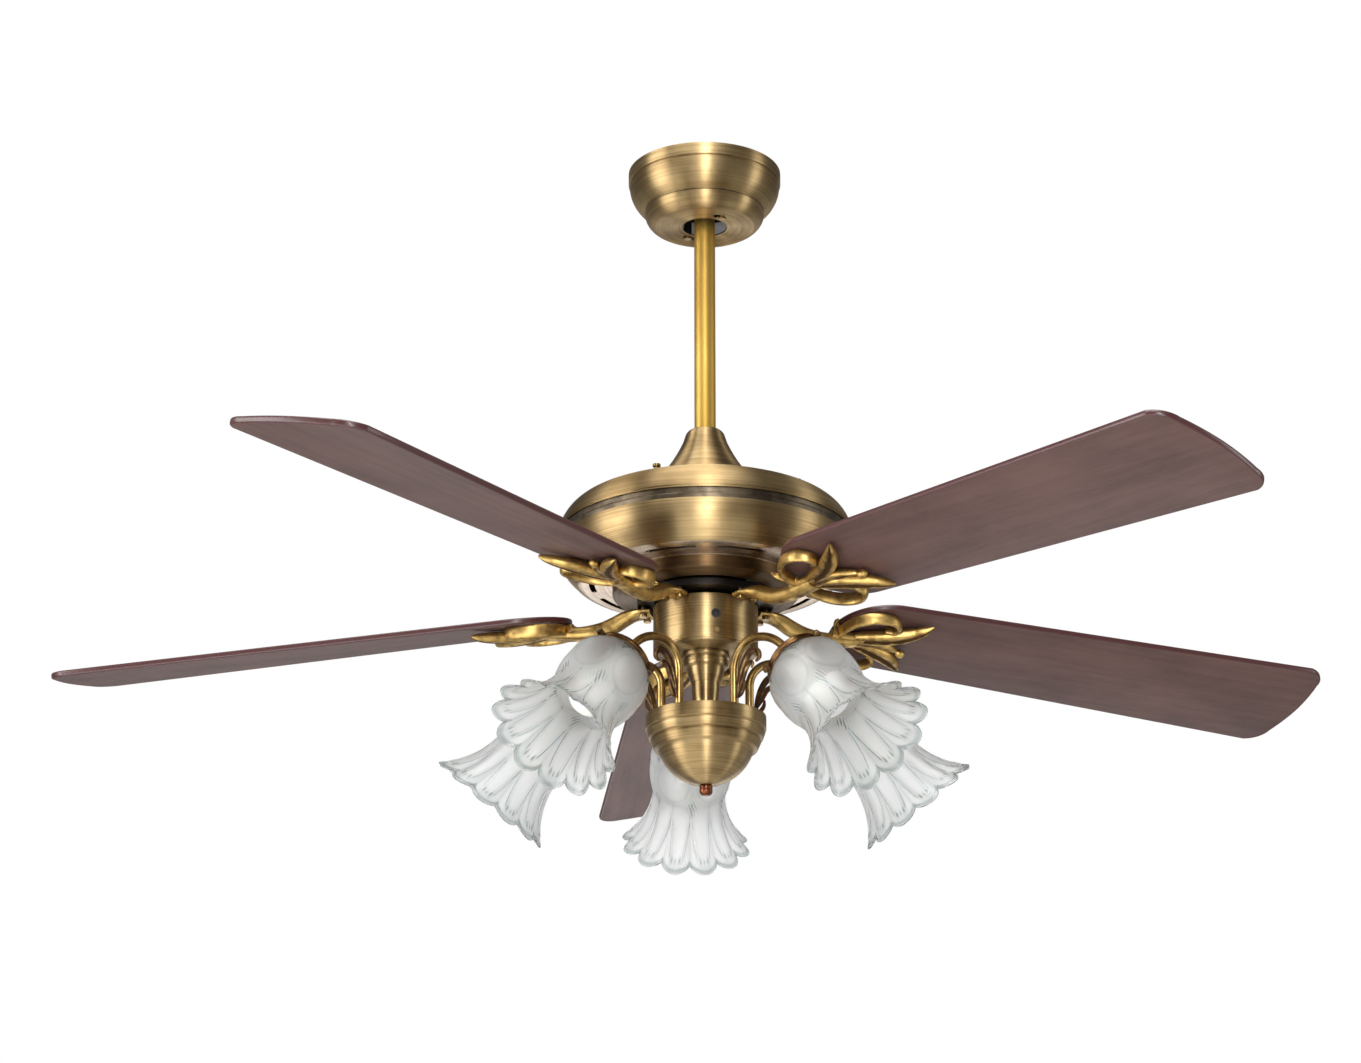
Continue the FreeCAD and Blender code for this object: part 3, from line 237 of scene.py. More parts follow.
def mesh_of(name, points, faces, **values):
    """A closed mesh with outward normals. Each extra value is kept at its points as an attribute."""
    mesh = bpy.data.meshes.new(name)
    mesh.from_pydata(points.reshape(-1, 3), [], faces.tolist() if hasattr(faces, "tolist") else faces)
    for attribute, numbers in values.items():
        numbers = np.asarray(numbers, np.float32)
        vector = numbers.ndim > 1 and numbers.shape[-1] == 3 and numbers.size == points.size
        layer = mesh.attributes.new(attribute, "FLOAT_VECTOR" if vector else "FLOAT", "POINT")
        layer.data.foreach_set("vector" if vector else "value", numbers.ravel())
    work = bmesh.new()
    work.from_mesh(mesh)
    bmesh.ops.remove_doubles(work, verts=work.verts, dist=2e-6)
    bmesh.ops.recalc_face_normals(work, faces=work.faces)
    work.to_mesh(mesh)
    work.free()
    return mesh


def add_piece(mesh, body, finish, stands_for=(), crease=38):
    """Shows a mesh as a piece that rides on a body and takes the place of CAD nodes."""
    mesh.shade_smooth()
    mesh.set_sharp_from_angle(angle=math.radians(crease))
    mesh.materials.clear()
    mesh.materials.append(finish)
    piece = bpy.data.objects.new(mesh.name, mesh)
    bpy.context.collection.objects.link(piece)
    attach(piece, body)
    if stands_for:
        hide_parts(*stands_for)
    return piece


def turned_points(line, segments=180):
    """Carries a line of (radius, depth) round the upright axis: (r cos a, r sin a, -d), in metres."""
    angle = np.arange(segments) * 2 * math.pi / segments
    radius, depth = line[:, :1], line[:, 1:]
    points = np.stack([radius * np.cos(angle), radius * np.sin(angle), -depth + 0 * angle], -1) * MM
    return points, quads(len(line), segments, rows_wrap=True)


def turned(name, corners, segments=180, size=0.35):
    return mesh_of(name, *turned_points(eased(outline(corners), size), segments))


def drilled(mesh, cutters):
    """Takes closed cutter meshes out of a mesh."""
    whole = bpy.data.objects.new("blank", mesh)
    tool = bpy.data.objects.new("tool", bpy.data.meshes.new("tool"))
    work = bmesh.new()
    for cutter in cutters:
        work.from_mesh(cutter)
    work.to_mesh(tool.data)
    work.free()
    for thing in (whole, tool):
        bpy.context.collection.objects.link(thing)
    cut = whole.modifiers.new("cut", "BOOLEAN")
    cut.object = tool
    cut.operation = "DIFFERENCE"
    cut.solver = "EXACT"
    cut.use_self = True
    result = bpy.data.meshes.new_from_object(whole.evaluated_get(bpy.context.evaluated_depsgraph_get()))
    name = mesh.name
    for thing in (whole, tool):
        bpy.data.objects.remove(thing)
    mesh.name = "blank"
    result.name = name
    return result


def bent_slot(radius, half_width, middle, sweep, low, high, steps=14):
    """A slot along a circle, round at both ends, as an upright solid between two depths."""
    along = np.radians(np.linspace(-sweep / 2, sweep / 2, steps))
    cap = np.linspace(-math.pi / 2, math.pi / 2, 9)
    outer = np.stack([np.full(steps, radius + half_width), along * radius], 1)
    inner = np.stack([np.full(steps, radius - half_width), along[::-1] * radius], 1)
    end = np.stack([half_width * -np.sin(cap), half_width * np.cos(cap)], 1)
    ring = np.concatenate([outer, [radius, along[-1] * radius] + end[1:-1], inner,
                           [radius, along[0] * radius] + (end * [-1, -1])[1:-1]])
    angle = ring[:, 1] / radius + math.radians(middle)
    plan = np.stack([ring[:, 0] * np.cos(angle), ring[:, 0] * np.sin(angle)], 1)
    return prism("slot", plan, -high, -low)


def prism(name, plan, bottom, top):
    """A flat outline in millimetres carried straight up."""
    count = len(plan)
    points = np.concatenate([np.c_[plan, np.full(count, level)] for level in (bottom, top)]) * MM
    ring = np.arange(count)
    after = (ring + 1) % count
    sides = np.stack([ring, after, after + count, ring + count], 1).tolist()
    return mesh_of(name, points, sides + [ring[::-1].tolist(), (ring + count).tolist()])


canopy_blank = turned("canopy_shell", [
    (76.5, 0), (76.5, 12.0), (74.3, 12.4), (74.3, 13.2), (75.4, 13.8, 34), (60.6, 41), (58.8, 41.8),
    (60.0, 43.4, 16), (51.0, 57.2), (49.4, 58), (22, 58), (22, 56.8), (49.0, 56.8, -14.8), (58.6, 43),
    (58.4, 40.6, -32.8), (73.9, 13.8), (73.9, 12.2), (75.3, 11.4), (75.3, 0)])
KEYHOLE_RADIUS = 29.4
NARROW_HALF, WIDE_HALF = 2.5, 3.9
keyholes = []
for azimuth in (125, 305):
    keyholes.append(bent_slot(KEYHOLE_RADIUS, NARROW_HALF, azimuth - 4.5, 20, 54, 62))
    keyholes.append(bent_slot(KEYHOLE_RADIUS, WIDE_HALF, azimuth - 9.5, 1, 54, 62))
canopy = add_piece(drilled(canopy_blank, keyholes), "mount", antique_brass, ["canopy"])
# The canopy's inner faces take the black finish as painted shade, for the darkness inside it.
canopy.data.materials.append(black_plastic)
inside_in_painted_shade = [face.normal.x * face.center.x + face.normal.y * face.center.y < -0.001
          or (face.normal.z > 0.5 and face.center.z < -0.02) for face in canopy.data.polygons]
canopy.data.polygons.foreach_set("material_index", np.array(inside_in_painted_shade, np.int32))
# The zinc plated bracket is coloured dark grey as painted shade, for the darkness inside the canopy.
zinc_in_painted_shade = cast_or_plated("zinc_in_painted_shade", tint(58, 56, 54), tint(34, 33, 32), 0.6)
dress(bright_steel, "ball_pin")
dress(zinc_in_painted_shade, "hanger_bracket")
dress(black_plastic, "hanger_ball")
dress(screw_brass, "canopy_screws")

# ---------------------------------------------------------------- downrod, yoke cover and coupling
# The rod is drawn brass tube, polished along its length. A flared brass cover slides down it over the
# steel coupling, which a cross pin and two set screws lock to the rod.

rod_finish = Finish("yellow_brass", Metallic=1.0)
streaks = rod_finish.place.stretched(160, 160, 3).noise(1.0, 2.0)
tarnish = rod_finish.place.stretched(20, 20, 12).noise(1.0, 4.0)
yellow_brass = rod_finish.join(
    Base_Color=(streaks * 0.5 + tarnish * 0.6).between(0.3, 0.8).colours(
        tint(190, 156, 80), tint(150, 116, 50)),
    Roughness=streaks * 0.08 + tarnish * 0.08 + 0.42,
    Normal=tarnish.bump(0.02, 0.0005))
ROD_BORE, ROD_RADIUS, ROD_TOP, ROD_END = 8.3, 10.5, 10, 315
rod = turned("rod", [
    (ROD_BORE, ROD_TOP), (ROD_RADIUS, ROD_TOP), (ROD_RADIUS, ROD_END), (ROD_BORE, ROD_END)], 96)
add_piece(rod, "drop", yellow_brass, ["downrod"])
rod_cover = turned("rod_cover", [
    (10.8, 277.5), (13.5, 277.5, 9), (19.5, 283.5), (21.7, 290.5, -160), (46, 329.6), (52, 336.6),
    (50.3, 336.6), (44.6, 330, 159), (20.5, 290.9), (18.3, 283.9, -7.6), (13.1, 278.7), (10.8, 278.7)])
add_piece(rod_cover, "drop", antique_brass, ["yoke_cover"])
dress(bright_steel, "coupling", "coupling_pin", "coupling_screws")

# ---------------------------------------------------------------- motor housing
# A spun dome and a spun bowl close on a dark seam band. The bowl's floor is polished, with long vents
# round its edge and a stepped ring in the middle, and four screws pull the halves together.

polished_floor = brushed_round(
    "polished_floor", tint(222, 208, 190), tint(164, 144, 124), gloss=0.2, cloud=0.6)
dark_band = cast_or_plated("dark_band", tint(104, 92, 76), tint(66, 58, 48), 0.34, patches=60)
dark_ring = brushed_round("dark_ring", tint(112, 88, 60), tint(52, 40, 28), gloss=0.42)
ROUND = 256
dome = turned("dome", [
    (9.3, 333), (18, 333, 290), (120, 358, 36), (142.7, 384.5), (142.9, 385.6), (142.2, 386.1),
    (142.7, 386.7), (142.7, 387.8), (141.5, 387.8, -34.8), (119.52, 359.1, -288.8), (18, 334.2),
    (9.3, 334.2)], ROUND)
add_piece(dome, "drop", antique_brass, ["upper_housing"])
seam_band = turned("seam_band", [
    (139.1, 383.8), (140.3, 383.8), (140.3, 388.1), (141.5, 388.1), (141.5, 392.4), (141.0, 393),
    (141.5, 393.6), (141.5, 398.2), (140.3, 398.2), (140.3, 402.5), (139.1, 402.5)], ROUND)
add_piece(seam_band, "drop", dark_band, ["trim_band"])
bowl_blank = turned("bowl", [
    (142.7, 398.5, 34), (130, 430, 14), (119, 436.5), (90.8, 436.5), (90, 437.5), (90, 448), (89, 449),
    (64, 449), (64, 447.8), (88.4, 447.8), (88.8, 435.3), (118.6, 435.3, -12.8), (128.8, 429.6, -32.8),
    (141.5, 398.5)], ROUND)
VENTS = 10
vents = [bent_slot(110.25, 2.75, turn * 360 // VENTS, 23, 430, 440) for turn in range(VENTS)]
bowl = add_piece(drilled(bowl_blank, vents), "drop", antique_brass, ["lower_housing"])
bowl.data.materials.append(polished_floor)
bowl.data.materials.append(dark_ring)
FLOOR_LEVEL, RING_RADIUS = -0.4355, 0.0906
bowl_finishes = np.array([
    0 if face.center.z > FLOOR_LEVEL else 1 if face.center.xy.length > RING_RADIUS else 2
    for face in bowl.data.polygons], np.int32)
bowl.data.polygons.foreach_set("material_index", bowl_finishes)
dress(screw_brass, "housing_screws")

# ---------------------------------------------------------------- motor
# A fixed hollow steel shaft carries the laminated core and its windings. The die cast shell turns round
# them on two bearings, and its dark flywheel comes out through the floor of the bowl.

laminations = cast_or_plated(
    "laminations", tint(120, 120, 124), tint(84, 84, 90), 0.5, grain=900, relief=0.3)
copper_wire = cast_or_plated(
    "copper_wire", tint(186, 104, 62), tint(132, 66, 38), 0.35, grain=700, relief=0.5)
die_cast = cast_or_plated("die_cast", tint(150, 148, 144), tint(112, 110, 108), 0.5, relief=0.3)
flywheel_black = cast_or_plated("flywheel_black", tint(46, 42, 40), tint(26, 24, 24), 0.42)
dress(bright_steel, "motor_shaft", "upper_bearing", "lower_bearing")
dress(laminations, "stator_core")
dress(copper_wire, "stator_windings")
dress(die_cast, "rotor_upper_shell", "rotor_lower_shell")
dress(flywheel_black, "flywheel")

# ---------------------------------------------------------------- blades
# Each blade is a flat board of dark reddish veneer, rounded at the root, wider at the tip and softened
# at its edges, where the lacquer is redder and shinier. Three screws hold it on its iron.

BLADE_AZIMUTHS = (22.1, 94.1, 166.1, 238.1, 310.1)
BLADE_ROOT = 135.0
ROOT_DEPTH = 466.5
BLADE_DROOP = 2.4
BLADE_PITCH = 12.9
BOARD = 6.0
EDGE_RADIUS = 1.9
ROOT_WIDE, TIP_WIDE, ROOT_END, TIP_START = 56, 72, 56, 501


def turn_about(axis, degrees):
    """The matrix that turns a point about the x (0), y (1) or z (2) axis by the right-hand rule."""
    cosine, sine = math.cos(math.radians(degrees)), math.sin(math.radians(degrees))
    matrix = np.eye(3)
    first, second = [(1, 2), (2, 0), (0, 1)][axis]
    matrix[first, first] = matrix[second, second] = cosine
    matrix[first, second], matrix[second, first] = -sine, sine
    return matrix


def on_blade(points, azimuth):
    """Millimetres along, across and up through a blade, from the middle of its root's underside, as metres
    in the fan's frame: pitched about its length, drooped outward, then turned to its place."""
    turn = turn_about(2, azimuth)
    tilt = turn @ turn_about(1, BLADE_DROOP) @ turn_about(0, -BLADE_PITCH)
    return (points @ tilt.T + turn @ [BLADE_ROOT, 0, -ROOT_DEPTH]) * MM


def board_shape():
    """Half the plan goes from the root's pole to the tip's: a quarter circle, a straight side that widens
    evenly, a rounded corner and a bowed end. Each cross-section is a loop: up one rounded edge, across, and
    down the other. A point is plan - inset * normal, with inset = e (1 - cos b), height by sin b."""
    half = outline([(0, 0, -56.01), (ROOT_END, ROOT_WIDE), (150, 58.7), (250, 61.6), (350, 64.5), (450, 67.4),
                    (TIP_START, TIP_WIDE, -25), (520, 48, -260), (525, 0)], closed=False, fineness=2.0)
    straight = (half[:, 0] > ROOT_END) & (half[:, 0] < TIP_START)
    widening = (TIP_WIDE - ROOT_WIDE) / (TIP_START - ROOT_END)
    half[:, 1] = np.where(straight, ROOT_WIDE + (half[:, 0] - ROOT_END) * widening, half[:, 1])
    slope = np.gradient(half, axis=0)
    normal = np.stack([-slope[:, 1], slope[:, 0]], 1) / np.linalg.norm(slope, axis=1, keepdims=True)
    normal[0], normal[-1] = (-1, 0), (1, 0)
    bend = np.linspace(-math.pi / 2, math.pi / 2, 9)
    inset = EDGE_RADIUS * (1 - np.cos(bend))
    height = BOARD / 2 + np.sin(bend) * EDGE_RADIUS + np.sign(bend) * (BOARD / 2 - EDGE_RADIUS)
    plan = half[:, None] - inset[None, :, None] * normal[:, None]
    level = np.broadcast_to(height, plan.shape[:2])
    near = np.stack([plan[..., 0], plan[..., 1], level], -1)
    far = (near * [1, -1, 1])[:, ::-1]
    loop = np.concatenate([near, far], 1)
    edge = np.broadcast_to(np.r_[np.cos(bend), np.cos(bend)] ** 0.5, loop.shape[:2])
    return loop, edge


def veneer():
    """Grain runs along the blade: noise stretched along it, with finer pores and a broad mottling."""
    finish = Finish("mahogany", Coat_Roughness=0.22, IOR=1.45)
    own = finish.attribute("along", "Vector")
    grain = own.stretched(5, 90, 20).noise(1.0, 5.0, 0.6)
    pores = own.stretched(60, 900, 60).noise(1.0, 2.0)
    mottle = own.stretched(9, 16, 9).noise(1.0, 4.0, 0.6)
    rim = finish.attribute("edge").between(0.3, 0.9)
    figure = (grain * 0.4 + mottle * 0.7 + pores * 0.2).between(0.42, 0.95)
    face = figure.colours(tint(90, 63, 58), tint(62, 40, 37))
    return finish.join(
        Base_Color=rim.colours(face, tint(62, 28, 28)),
        Roughness=(grain * 0.12 + pores * 0.1 + 0.44) - rim * 0.16,
        Coat_Weight=rim * 0.3 + 0.04,
        Normal=(grain * 0.4 + pores).bump(0.1, 0.0003))


mahogany = veneer()
board, board_edge = board_shape()
for number, azimuth in enumerate(BLADE_AZIMUTHS, start=1):
    drift = number * np.array([900.0, 40.0, 0.0])
    mesh = mesh_of("board_%d" % number, on_blade(board, azimuth), quads(board.shape[0], board.shape[1]),
                   along=(board + drift) * MM, edge=board_edge)
    add_piece(mesh, "rotor", mahogany, ["blade_%d" % number])

# ---------------------------------------------------------------- blade irons
# Each iron is one brass casting, gilt over a dark stain in blotches, its grooves darkened as painted shade: a
# bar that dips out from the flywheel, then leaves and curls that lie flat under the blade. Screws go up
# through it.


def smooth_path(knots, steps=10):
    """A curve through knots of any number of columns, by the Catmull-Rom cubic between each two."""
    knots = np.asarray(knots, float)
    ends = np.concatenate([knots[:1] * 2 - knots[1:2], knots, knots[-1:] * 2 - knots[-2:-1]])
    t = (np.arange(steps) / steps)[None, :, None]
    a, b, c, d = (ends[i:len(ends) - 3 + i, None] for i in range(4))
    curve = (b + t * (c - a) / 2 + t ** 2 * (a - 2.5 * b + 2 * c - d / 2)
             + t ** 3 * (1.5 * (b - c) + (d - a) / 2))
    return np.concatenate([curve.reshape(-1, knots.shape[1]), knots[-1:]])


def frond(centre, half_width, half_height, up, vein=0.0, around=20):
    """A loop carried along a centre line: centre + w cos(a) side + h sin(a) (1 - vein e^(-(cos a / 0.28)^2))
    rise, where side is square to the line and to up, and rise to both. Its ends close to points."""
    tangent = np.gradient(centre, axis=0)
    side = np.cross(tangent, up)
    side /= np.linalg.norm(side, axis=1, keepdims=True)
    rise = np.cross(side, tangent)
    rise /= np.linalg.norm(rise, axis=1, keepdims=True)
    angle = np.arange(around) * 2 * math.pi / around
    dip = 1 - vein * np.exp(-(np.cos(angle) / 0.28) ** 2)
    wide = half_width[:, None, None] * np.cos(angle)[None, :, None] * side[:, None]
    high = half_height[:, None, None] * (np.sin(angle) * dip)[None, :, None] * rise[:, None]
    rings = centre[:, None] + wide + high
    first, last = (np.repeat(end[:, None], around, 1) for end in (centre[:1], centre[-1:]))
    rings = np.concatenate([first, rings, last])
    # This value darkens the groove that the vein presses in: painted shade, not a stain.
    hollow = np.exp(-(np.cos(angle) / 0.35) ** 2) * vein * 2 + 0 * rings[..., 0]
    return rings, hollow


# Knots of each frond: along the blade, across it, depth below its underside, half width, half height.
IRON_STEM = ((-4, 0, 7.6, 8.4, 6.2), (12, 0, 7.6, 9.2, 6.0), (30, 0, 7.2, 8.4, 5.6), (45, 0, 6.8, 6.4, 5.0),
             (58, 3, 6.6, 5.0, 4.6), (68, 7, 6.2, 2.8, 3.4), (73, 10, 6.0, 0.9, 1.6))
IRON_BUD = ((71, 9, 6.4, 1.2, 1.2), (74, 10.4, 6.8, 3.8, 4.0), (79, 12, 6.8, 3.8, 4.0),
            (82, 13, 6.4, 1.2, 1.2))
IRON_LEAF = ((20, 4, 6.8, 5.0, 5.2), (35, 8, 7.2, 7.8, 6.6), (50, 13, 7.4, 8.8, 7.2),
             (64, 20, 7.4, 8.6, 7.0), (76, 29, 7.0, 6.8, 6.0), (84, 37, 6.4, 3.8, 4.4),
             (89, 43, 5.4, 0.9, 1.4))
IRON_CURL = ((4, 6, 6.8, 3.2, 5.4), (5, 19, 7.0, 3.0, 6.2), (12, 33, 7.2, 2.8, 6.8),
             (26, 43, 7.2, 2.8, 7.0), (43, 45, 7.2, 2.8, 6.8), (54, 37, 7.0, 2.8, 6.2),
             (53, 27, 6.6, 2.6, 5.4), (45, 24, 6.2, 1.6, 3.6))
IRON_SPUR = ((6, 6, 5.8, 3.8, 4.6), (-2, 14, 5.8, 3.6, 4.4), (-7, 22, 5.4, 2.2, 3.2), (-7, 28, 5.0, 0.6, 1.2))
# Knots of the bar, from its flat foot outward: radius, depth, half width, half height.
IRON_BAR = ((53, 462.3, 12.6, 3.7), (63, 462.3, 13.2, 3.9), (71, 462.8, 10.4, 5.6), (80, 465.6, 8.8, 7.4),
            (90, 470.8, 8.2, 8.2), (103, 475.4, 8.0, 8.0), (118, 477.4, 8.2, 7.4), (134, 477.6, 8.6, 6.8),
            (148, 477.2, 8.8, 5.6), (158, 477.0, 8.8, 4.6))
UPWARD = np.array([0.0, 0.0, 1.0])


def iron_parts(azimuth):
    """The point grids of one iron, each with how deep in shadow its surface lies."""
    parts = []
    for knots, vein, sides in ((IRON_STEM, 0.22, (1,)), (IRON_BUD, 0.0, (1,)), (IRON_LEAF, 0.45, (1, -1)),
                               (IRON_CURL, 0.1, (1, -1)), (IRON_SPUR, 0.2, (1, -1))):
        path = smooth_path(knots)
        for side in sides:
            centre = path[:, :3] * [1, side, -1]
            rings, hollow = frond(centre, path[:, 3], path[:, 4], UPWARD, vein)
            parts.append((on_blade(rings, azimuth), hollow))
    path = smooth_path(IRON_BAR)
    centre = np.stack([path[:, 0], 0 * path[:, 0], -path[:, 1]], 1)
    rings, hollow = frond(centre, path[:, 2], path[:, 3], UPWARD, 0.12, 24)
    parts.append((rings @ turn_about(2, azimuth).T * MM, hollow))
    return parts


def gathered(name, parts):
    """One mesh of several closed grids, with the attribute hollow."""
    points, faces, values, count = [], [], [], 0
    for grid, hollow in parts:
        points.append(grid.reshape(-1, 3))
        faces.append(quads(*grid.shape[:2]) + count)
        values.append(np.broadcast_to(hollow, grid.shape[:2]).ravel())
        count += len(points[-1])
    return mesh_of(name, np.concatenate(points), np.concatenate(faces), hollow=np.concatenate(values))


def gilt(name, light, dark, cover=0.0):
    """Gilding over a dark stain that shows in blotches, and darker where hollow is high, as painted shade in
    the grooves.
    """
    finish = Finish(name, Metallic=1.0)
    blotch = finish.place.noise(90.0, 4.0, 0.6)
    grit = finish.place.noise(600.0, 2.0)
    # The stain mixes real blotches and cover with painted shade from the grooves.
    stain = (finish.attribute("hollow") * 0.75 + blotch * 1.1 + cover).between(0.4, 0.95)
    return finish.join(
        Base_Color=stain.colours(light, dark),
        Roughness=stain * 0.2 + grit * 0.14 + 0.3,
        Normal=(blotch * 0.6 + grit * 0.2).bump(0.35, 0.0006))


cast_gold = gilt("cast_gold", tint(206, 172, 104), tint(84, 60, 34))
for number, azimuth in enumerate(BLADE_AZIMUTHS, start=1):
    add_piece(gathered("scroll_iron_%d" % number, iron_parts(azimuth)), "rotor", cast_gold,
              ["blade_iron_%d" % number], crease=60)
dress(screw_brass, "iron_screws", "blade_screws")

# ---------------------------------------------------------------- switch housing and column
# A brushed brass can hides the wiring. It has a black round port and small screws, and a collar and a
# tapered funnel under it cover the threaded tube that carries the lights.

can_blank = turned("switch_can", [
    (9.05, 461), (49.5, 461), (50.5, 462), (50.5, 503.4), (50.0, 504), (50.5, 504.6), (50.5, 506),
    (49.5, 506), (49.5, 462), (9.05, 462)], 192)


def radial_drill(azimuth, depth, radius, inner, outer):
    """A round bar pointing straight out from the upright axis."""
    angle = np.arange(32) * 2 * math.pi / 32
    bar = prism("drill", np.stack([radius * np.cos(angle), radius * np.sin(angle)], 1), inner, outer)
    points = np.empty(len(bar.vertices) * 3)
    bar.vertices.foreach_get("co", points)
    turn = turn_about(2, azimuth) @ turn_about(1, 90)
    points = points.reshape(-1, 3) @ turn.T - [0, 0, depth * MM]
    bar.vertices.foreach_set("co", points.ravel())
    return bar


PORT_AZIMUTH, PORT_DEPTH, PORT_RADIUS = 281, 482, 4.6
port = radial_drill(PORT_AZIMUTH, PORT_DEPTH, PORT_RADIUS, 45, 56)
add_piece(drilled(can_blank, [port]), "drop", antique_brass, ["switch_housing"])
can_lid = turned("can_lid", [
    (4.05, 508), (49.3, 508), (50.3, 507), (50.3, 506.4), (49.4, 506.4), (49.4, 494), (48.4, 494),
    (48.4, 506.8), (4.05, 506.8)], 192)
add_piece(can_lid, "drop", antique_brass, ["switch_plate"])
collar_ring = turned("collar_ring", [
    (4.05, 508.1), (22.2, 508.1), (23.4, 509.7), (23.4, 511.7), (22.4, 513.1), (4.05, 513.1)], 128, 0.6)
add_piece(collar_ring, "drop", antique_brass, ["column_collar"])
column_funnel = turned("column_funnel", [
    (4.05, 513.2), (20.2, 513.2), (20.2, 514), (21.6, 514.8), (21.6, 517.2), (20.9, 517.6), (21.6, 518),
    (21.6, 521.2), (18.2, 523.2, 46), (13.5, 538.2, 90), (11.7, 557.2), (13.3, 570.9), (4.05, 570.9)], 128)
add_piece(column_funnel, "drop", antique_brass, ["funnel"])
dress(screw_brass, "switch_screws")
dress(black_plastic, "capacitor", "chain_grommet")
dress(bright_steel, "centre_tube")

# ---------------------------------------------------------------- light cup and finial
# The cup is spun brass: a plain band, two beaded steps and a round bottom. A plate closes it above, and
# the turned finial screws on to the tube under it.

CUP_BOTTOM, CUP_HOLE, DOME_RADIUS, DOME_TOP = 637.6, 6.2, 47.4, 606
dome_centre = CUP_BOTTOM - math.sqrt(DOME_RADIUS ** 2 - CUP_HOLE ** 2)
dome_start = math.sqrt(DOME_RADIUS ** 2 - (DOME_TOP - dome_centre) ** 2)
cup = turned("cup", [
    (57.8, 571), (57.8, 583.6), (55.9, 584.6), (56.8, 586.2), (54.6, 592.4), (51.8, 593.8), (52.8, 595.6),
    (49.4, 603.2), (dome_start + 0.8, 605), (dome_start, DOME_TOP, DOME_RADIUS), (CUP_HOLE, CUP_BOTTOM),
    (4.05, CUP_BOTTOM), (4.05, 636.4), (CUP_HOLE, 636.3, -46.2), (dome_start - 1.2, 605.4), (48, 602.4),
    (51, 592.6), (55, 584), (56.6, 583), (56.6, 571)], 192, 0.5)
add_piece(cup, "drop", antique_brass, ["light_cup"])
dark_bronze = cast_or_plated("dark_bronze", tint(138, 104, 66), tint(74, 50, 32), 0.28, patches=90)
dark_copper = cast_or_plated("dark_copper", tint(122, 72, 48), tint(66, 36, 26), 0.28, patches=160)
finial_knob = turned("finial_knob", [
    (4.05, 637.7), (5.6, 637.7), (6.2, 639.1), (6.2, 641.6), (5.6, 642.2), (6.2, 642.8), (6.2, 644.7),
    (5.2, 646.7), (3.2, 648.2), (0, 648.2), (0, 644.4), (4.05, 644.4)], 64)
add_piece(finial_knob, "drop", dark_copper, ["finial"])
dress(antique_brass, "arm_plate")

# ---------------------------------------------------------------- light arms and leaves
# Each arm is thin brass tube: up out of the cup, over in a tight bend, then wide round and down to its
# lamp. A small cast leaf curls inside the bend, brazed to the tube.

ARM_AZIMUTHS = (19.0, 95.0, 163.0, 235.0, 307.0)
LAMP_FACINGS = (19.0, 95.0, 163.0, 223.0, 319.0)
LAMP_TILT = 48.0
CAP_RADIUS, CAP_DEPTH = 126.5, 538.0
CUP_RADIUS, CUP_DEPTH, TIGHT_BEND, END_RUN = 44.5, 576.5, 26, 6.4
lean = math.radians(LAMP_TILT)
end_out, end_down = END_RUN * math.cos(lean), END_RUN * math.sin(lean)
wide_bend = (CAP_RADIUS - CUP_RADIUS - TIGHT_BEND - end_out) / math.sin(lean)
arm_top = CAP_DEPTH - end_down - wide_bend * (1 - math.cos(lean))
arm_line = outline([(CUP_RADIUS, CUP_DEPTH), (CUP_RADIUS, arm_top + TIGHT_BEND, TIGHT_BEND),
                    (CUP_RADIUS + TIGHT_BEND, arm_top, wide_bend),
                    (CAP_RADIUS - end_out, CAP_DEPTH - end_down), (CAP_RADIUS, CAP_DEPTH)], closed=False)
arm_finish = Finish("arm_brass", Metallic=1.0)
arm_lines = arm_finish.place.noise(420.0, 3.0)
arm_stain = arm_finish.place.noise(60.0, 3.0)
arm_brass = arm_finish.join(
    Base_Color=(arm_lines * 0.3 + arm_stain * 0.7).between(0.35, 0.75).colours(
        tint(184, 154, 98), tint(120, 94, 54)),
    Roughness=arm_lines * 0.12 + arm_stain * 0.08 + 0.2,
    Normal=arm_lines.bump(0.06, 0.0002))
arm_centre = np.stack([arm_line[:, 0], 0 * arm_line[:, 0], -arm_line[:, 1]], 1)
arm_width = np.full(len(arm_line), 4.1)
SIDEWAYS = np.array([0.0, 1.0, 0.0])
# Knots of each frond, outward from the arm's rise: radius, depth, half width, half height.
LEAF_VINES = (
    ((50.2, 563, 1.6, 2.6), (52.6, 549, 2.4, 3.2), (57, 536, 3.0, 3.4), (64, 526, 3.4, 3.4),
     (73, 522, 3.4, 3.2), (81, 525, 2.6, 2.8), (83, 531, 2.0, 2.2), (78, 534, 1.2, 1.6)),
    ((52.0, 556, 1.6, 2.2), (57, 547, 2.6, 2.6), (62, 538, 2.8, 2.6), (69, 533, 2.2, 2.2),
     (73, 535, 1.4, 1.6), (71, 539, 0.8, 1.0)),
    ((50.6, 562, 1.4, 2.0), (55, 560, 2.2, 2.2), (59, 554, 2.0, 2.0), (60, 548, 1.0, 1.2)),
)


def leaf_parts(azimuth):
    """Curling fronds in the upright plane of one arm."""
    parts = []
    for knots in LEAF_VINES:
        path = smooth_path(knots)
        centre = np.stack([path[:, 0], 0 * path[:, 0], -path[:, 1]], 1)
        rings, hollow = frond(centre, path[:, 2], path[:, 3], SIDEWAYS, 0.35, 16)
        parts.append((rings @ turn_about(2, azimuth).T * MM, hollow))
    return parts


all_leaves = []
for number, azimuth in enumerate(ARM_AZIMUTHS, start=1):
    rings, _ = frond(arm_centre, arm_width, arm_width, SIDEWAYS, around=28)
    mesh = mesh_of("bent_tube_%d" % number, rings @ turn_about(2, azimuth).T * MM, quads(*rings.shape[:2]))
    add_piece(mesh, "drop", arm_brass, ["light_arm_%d" % number])
    all_leaves += leaf_parts(azimuth)
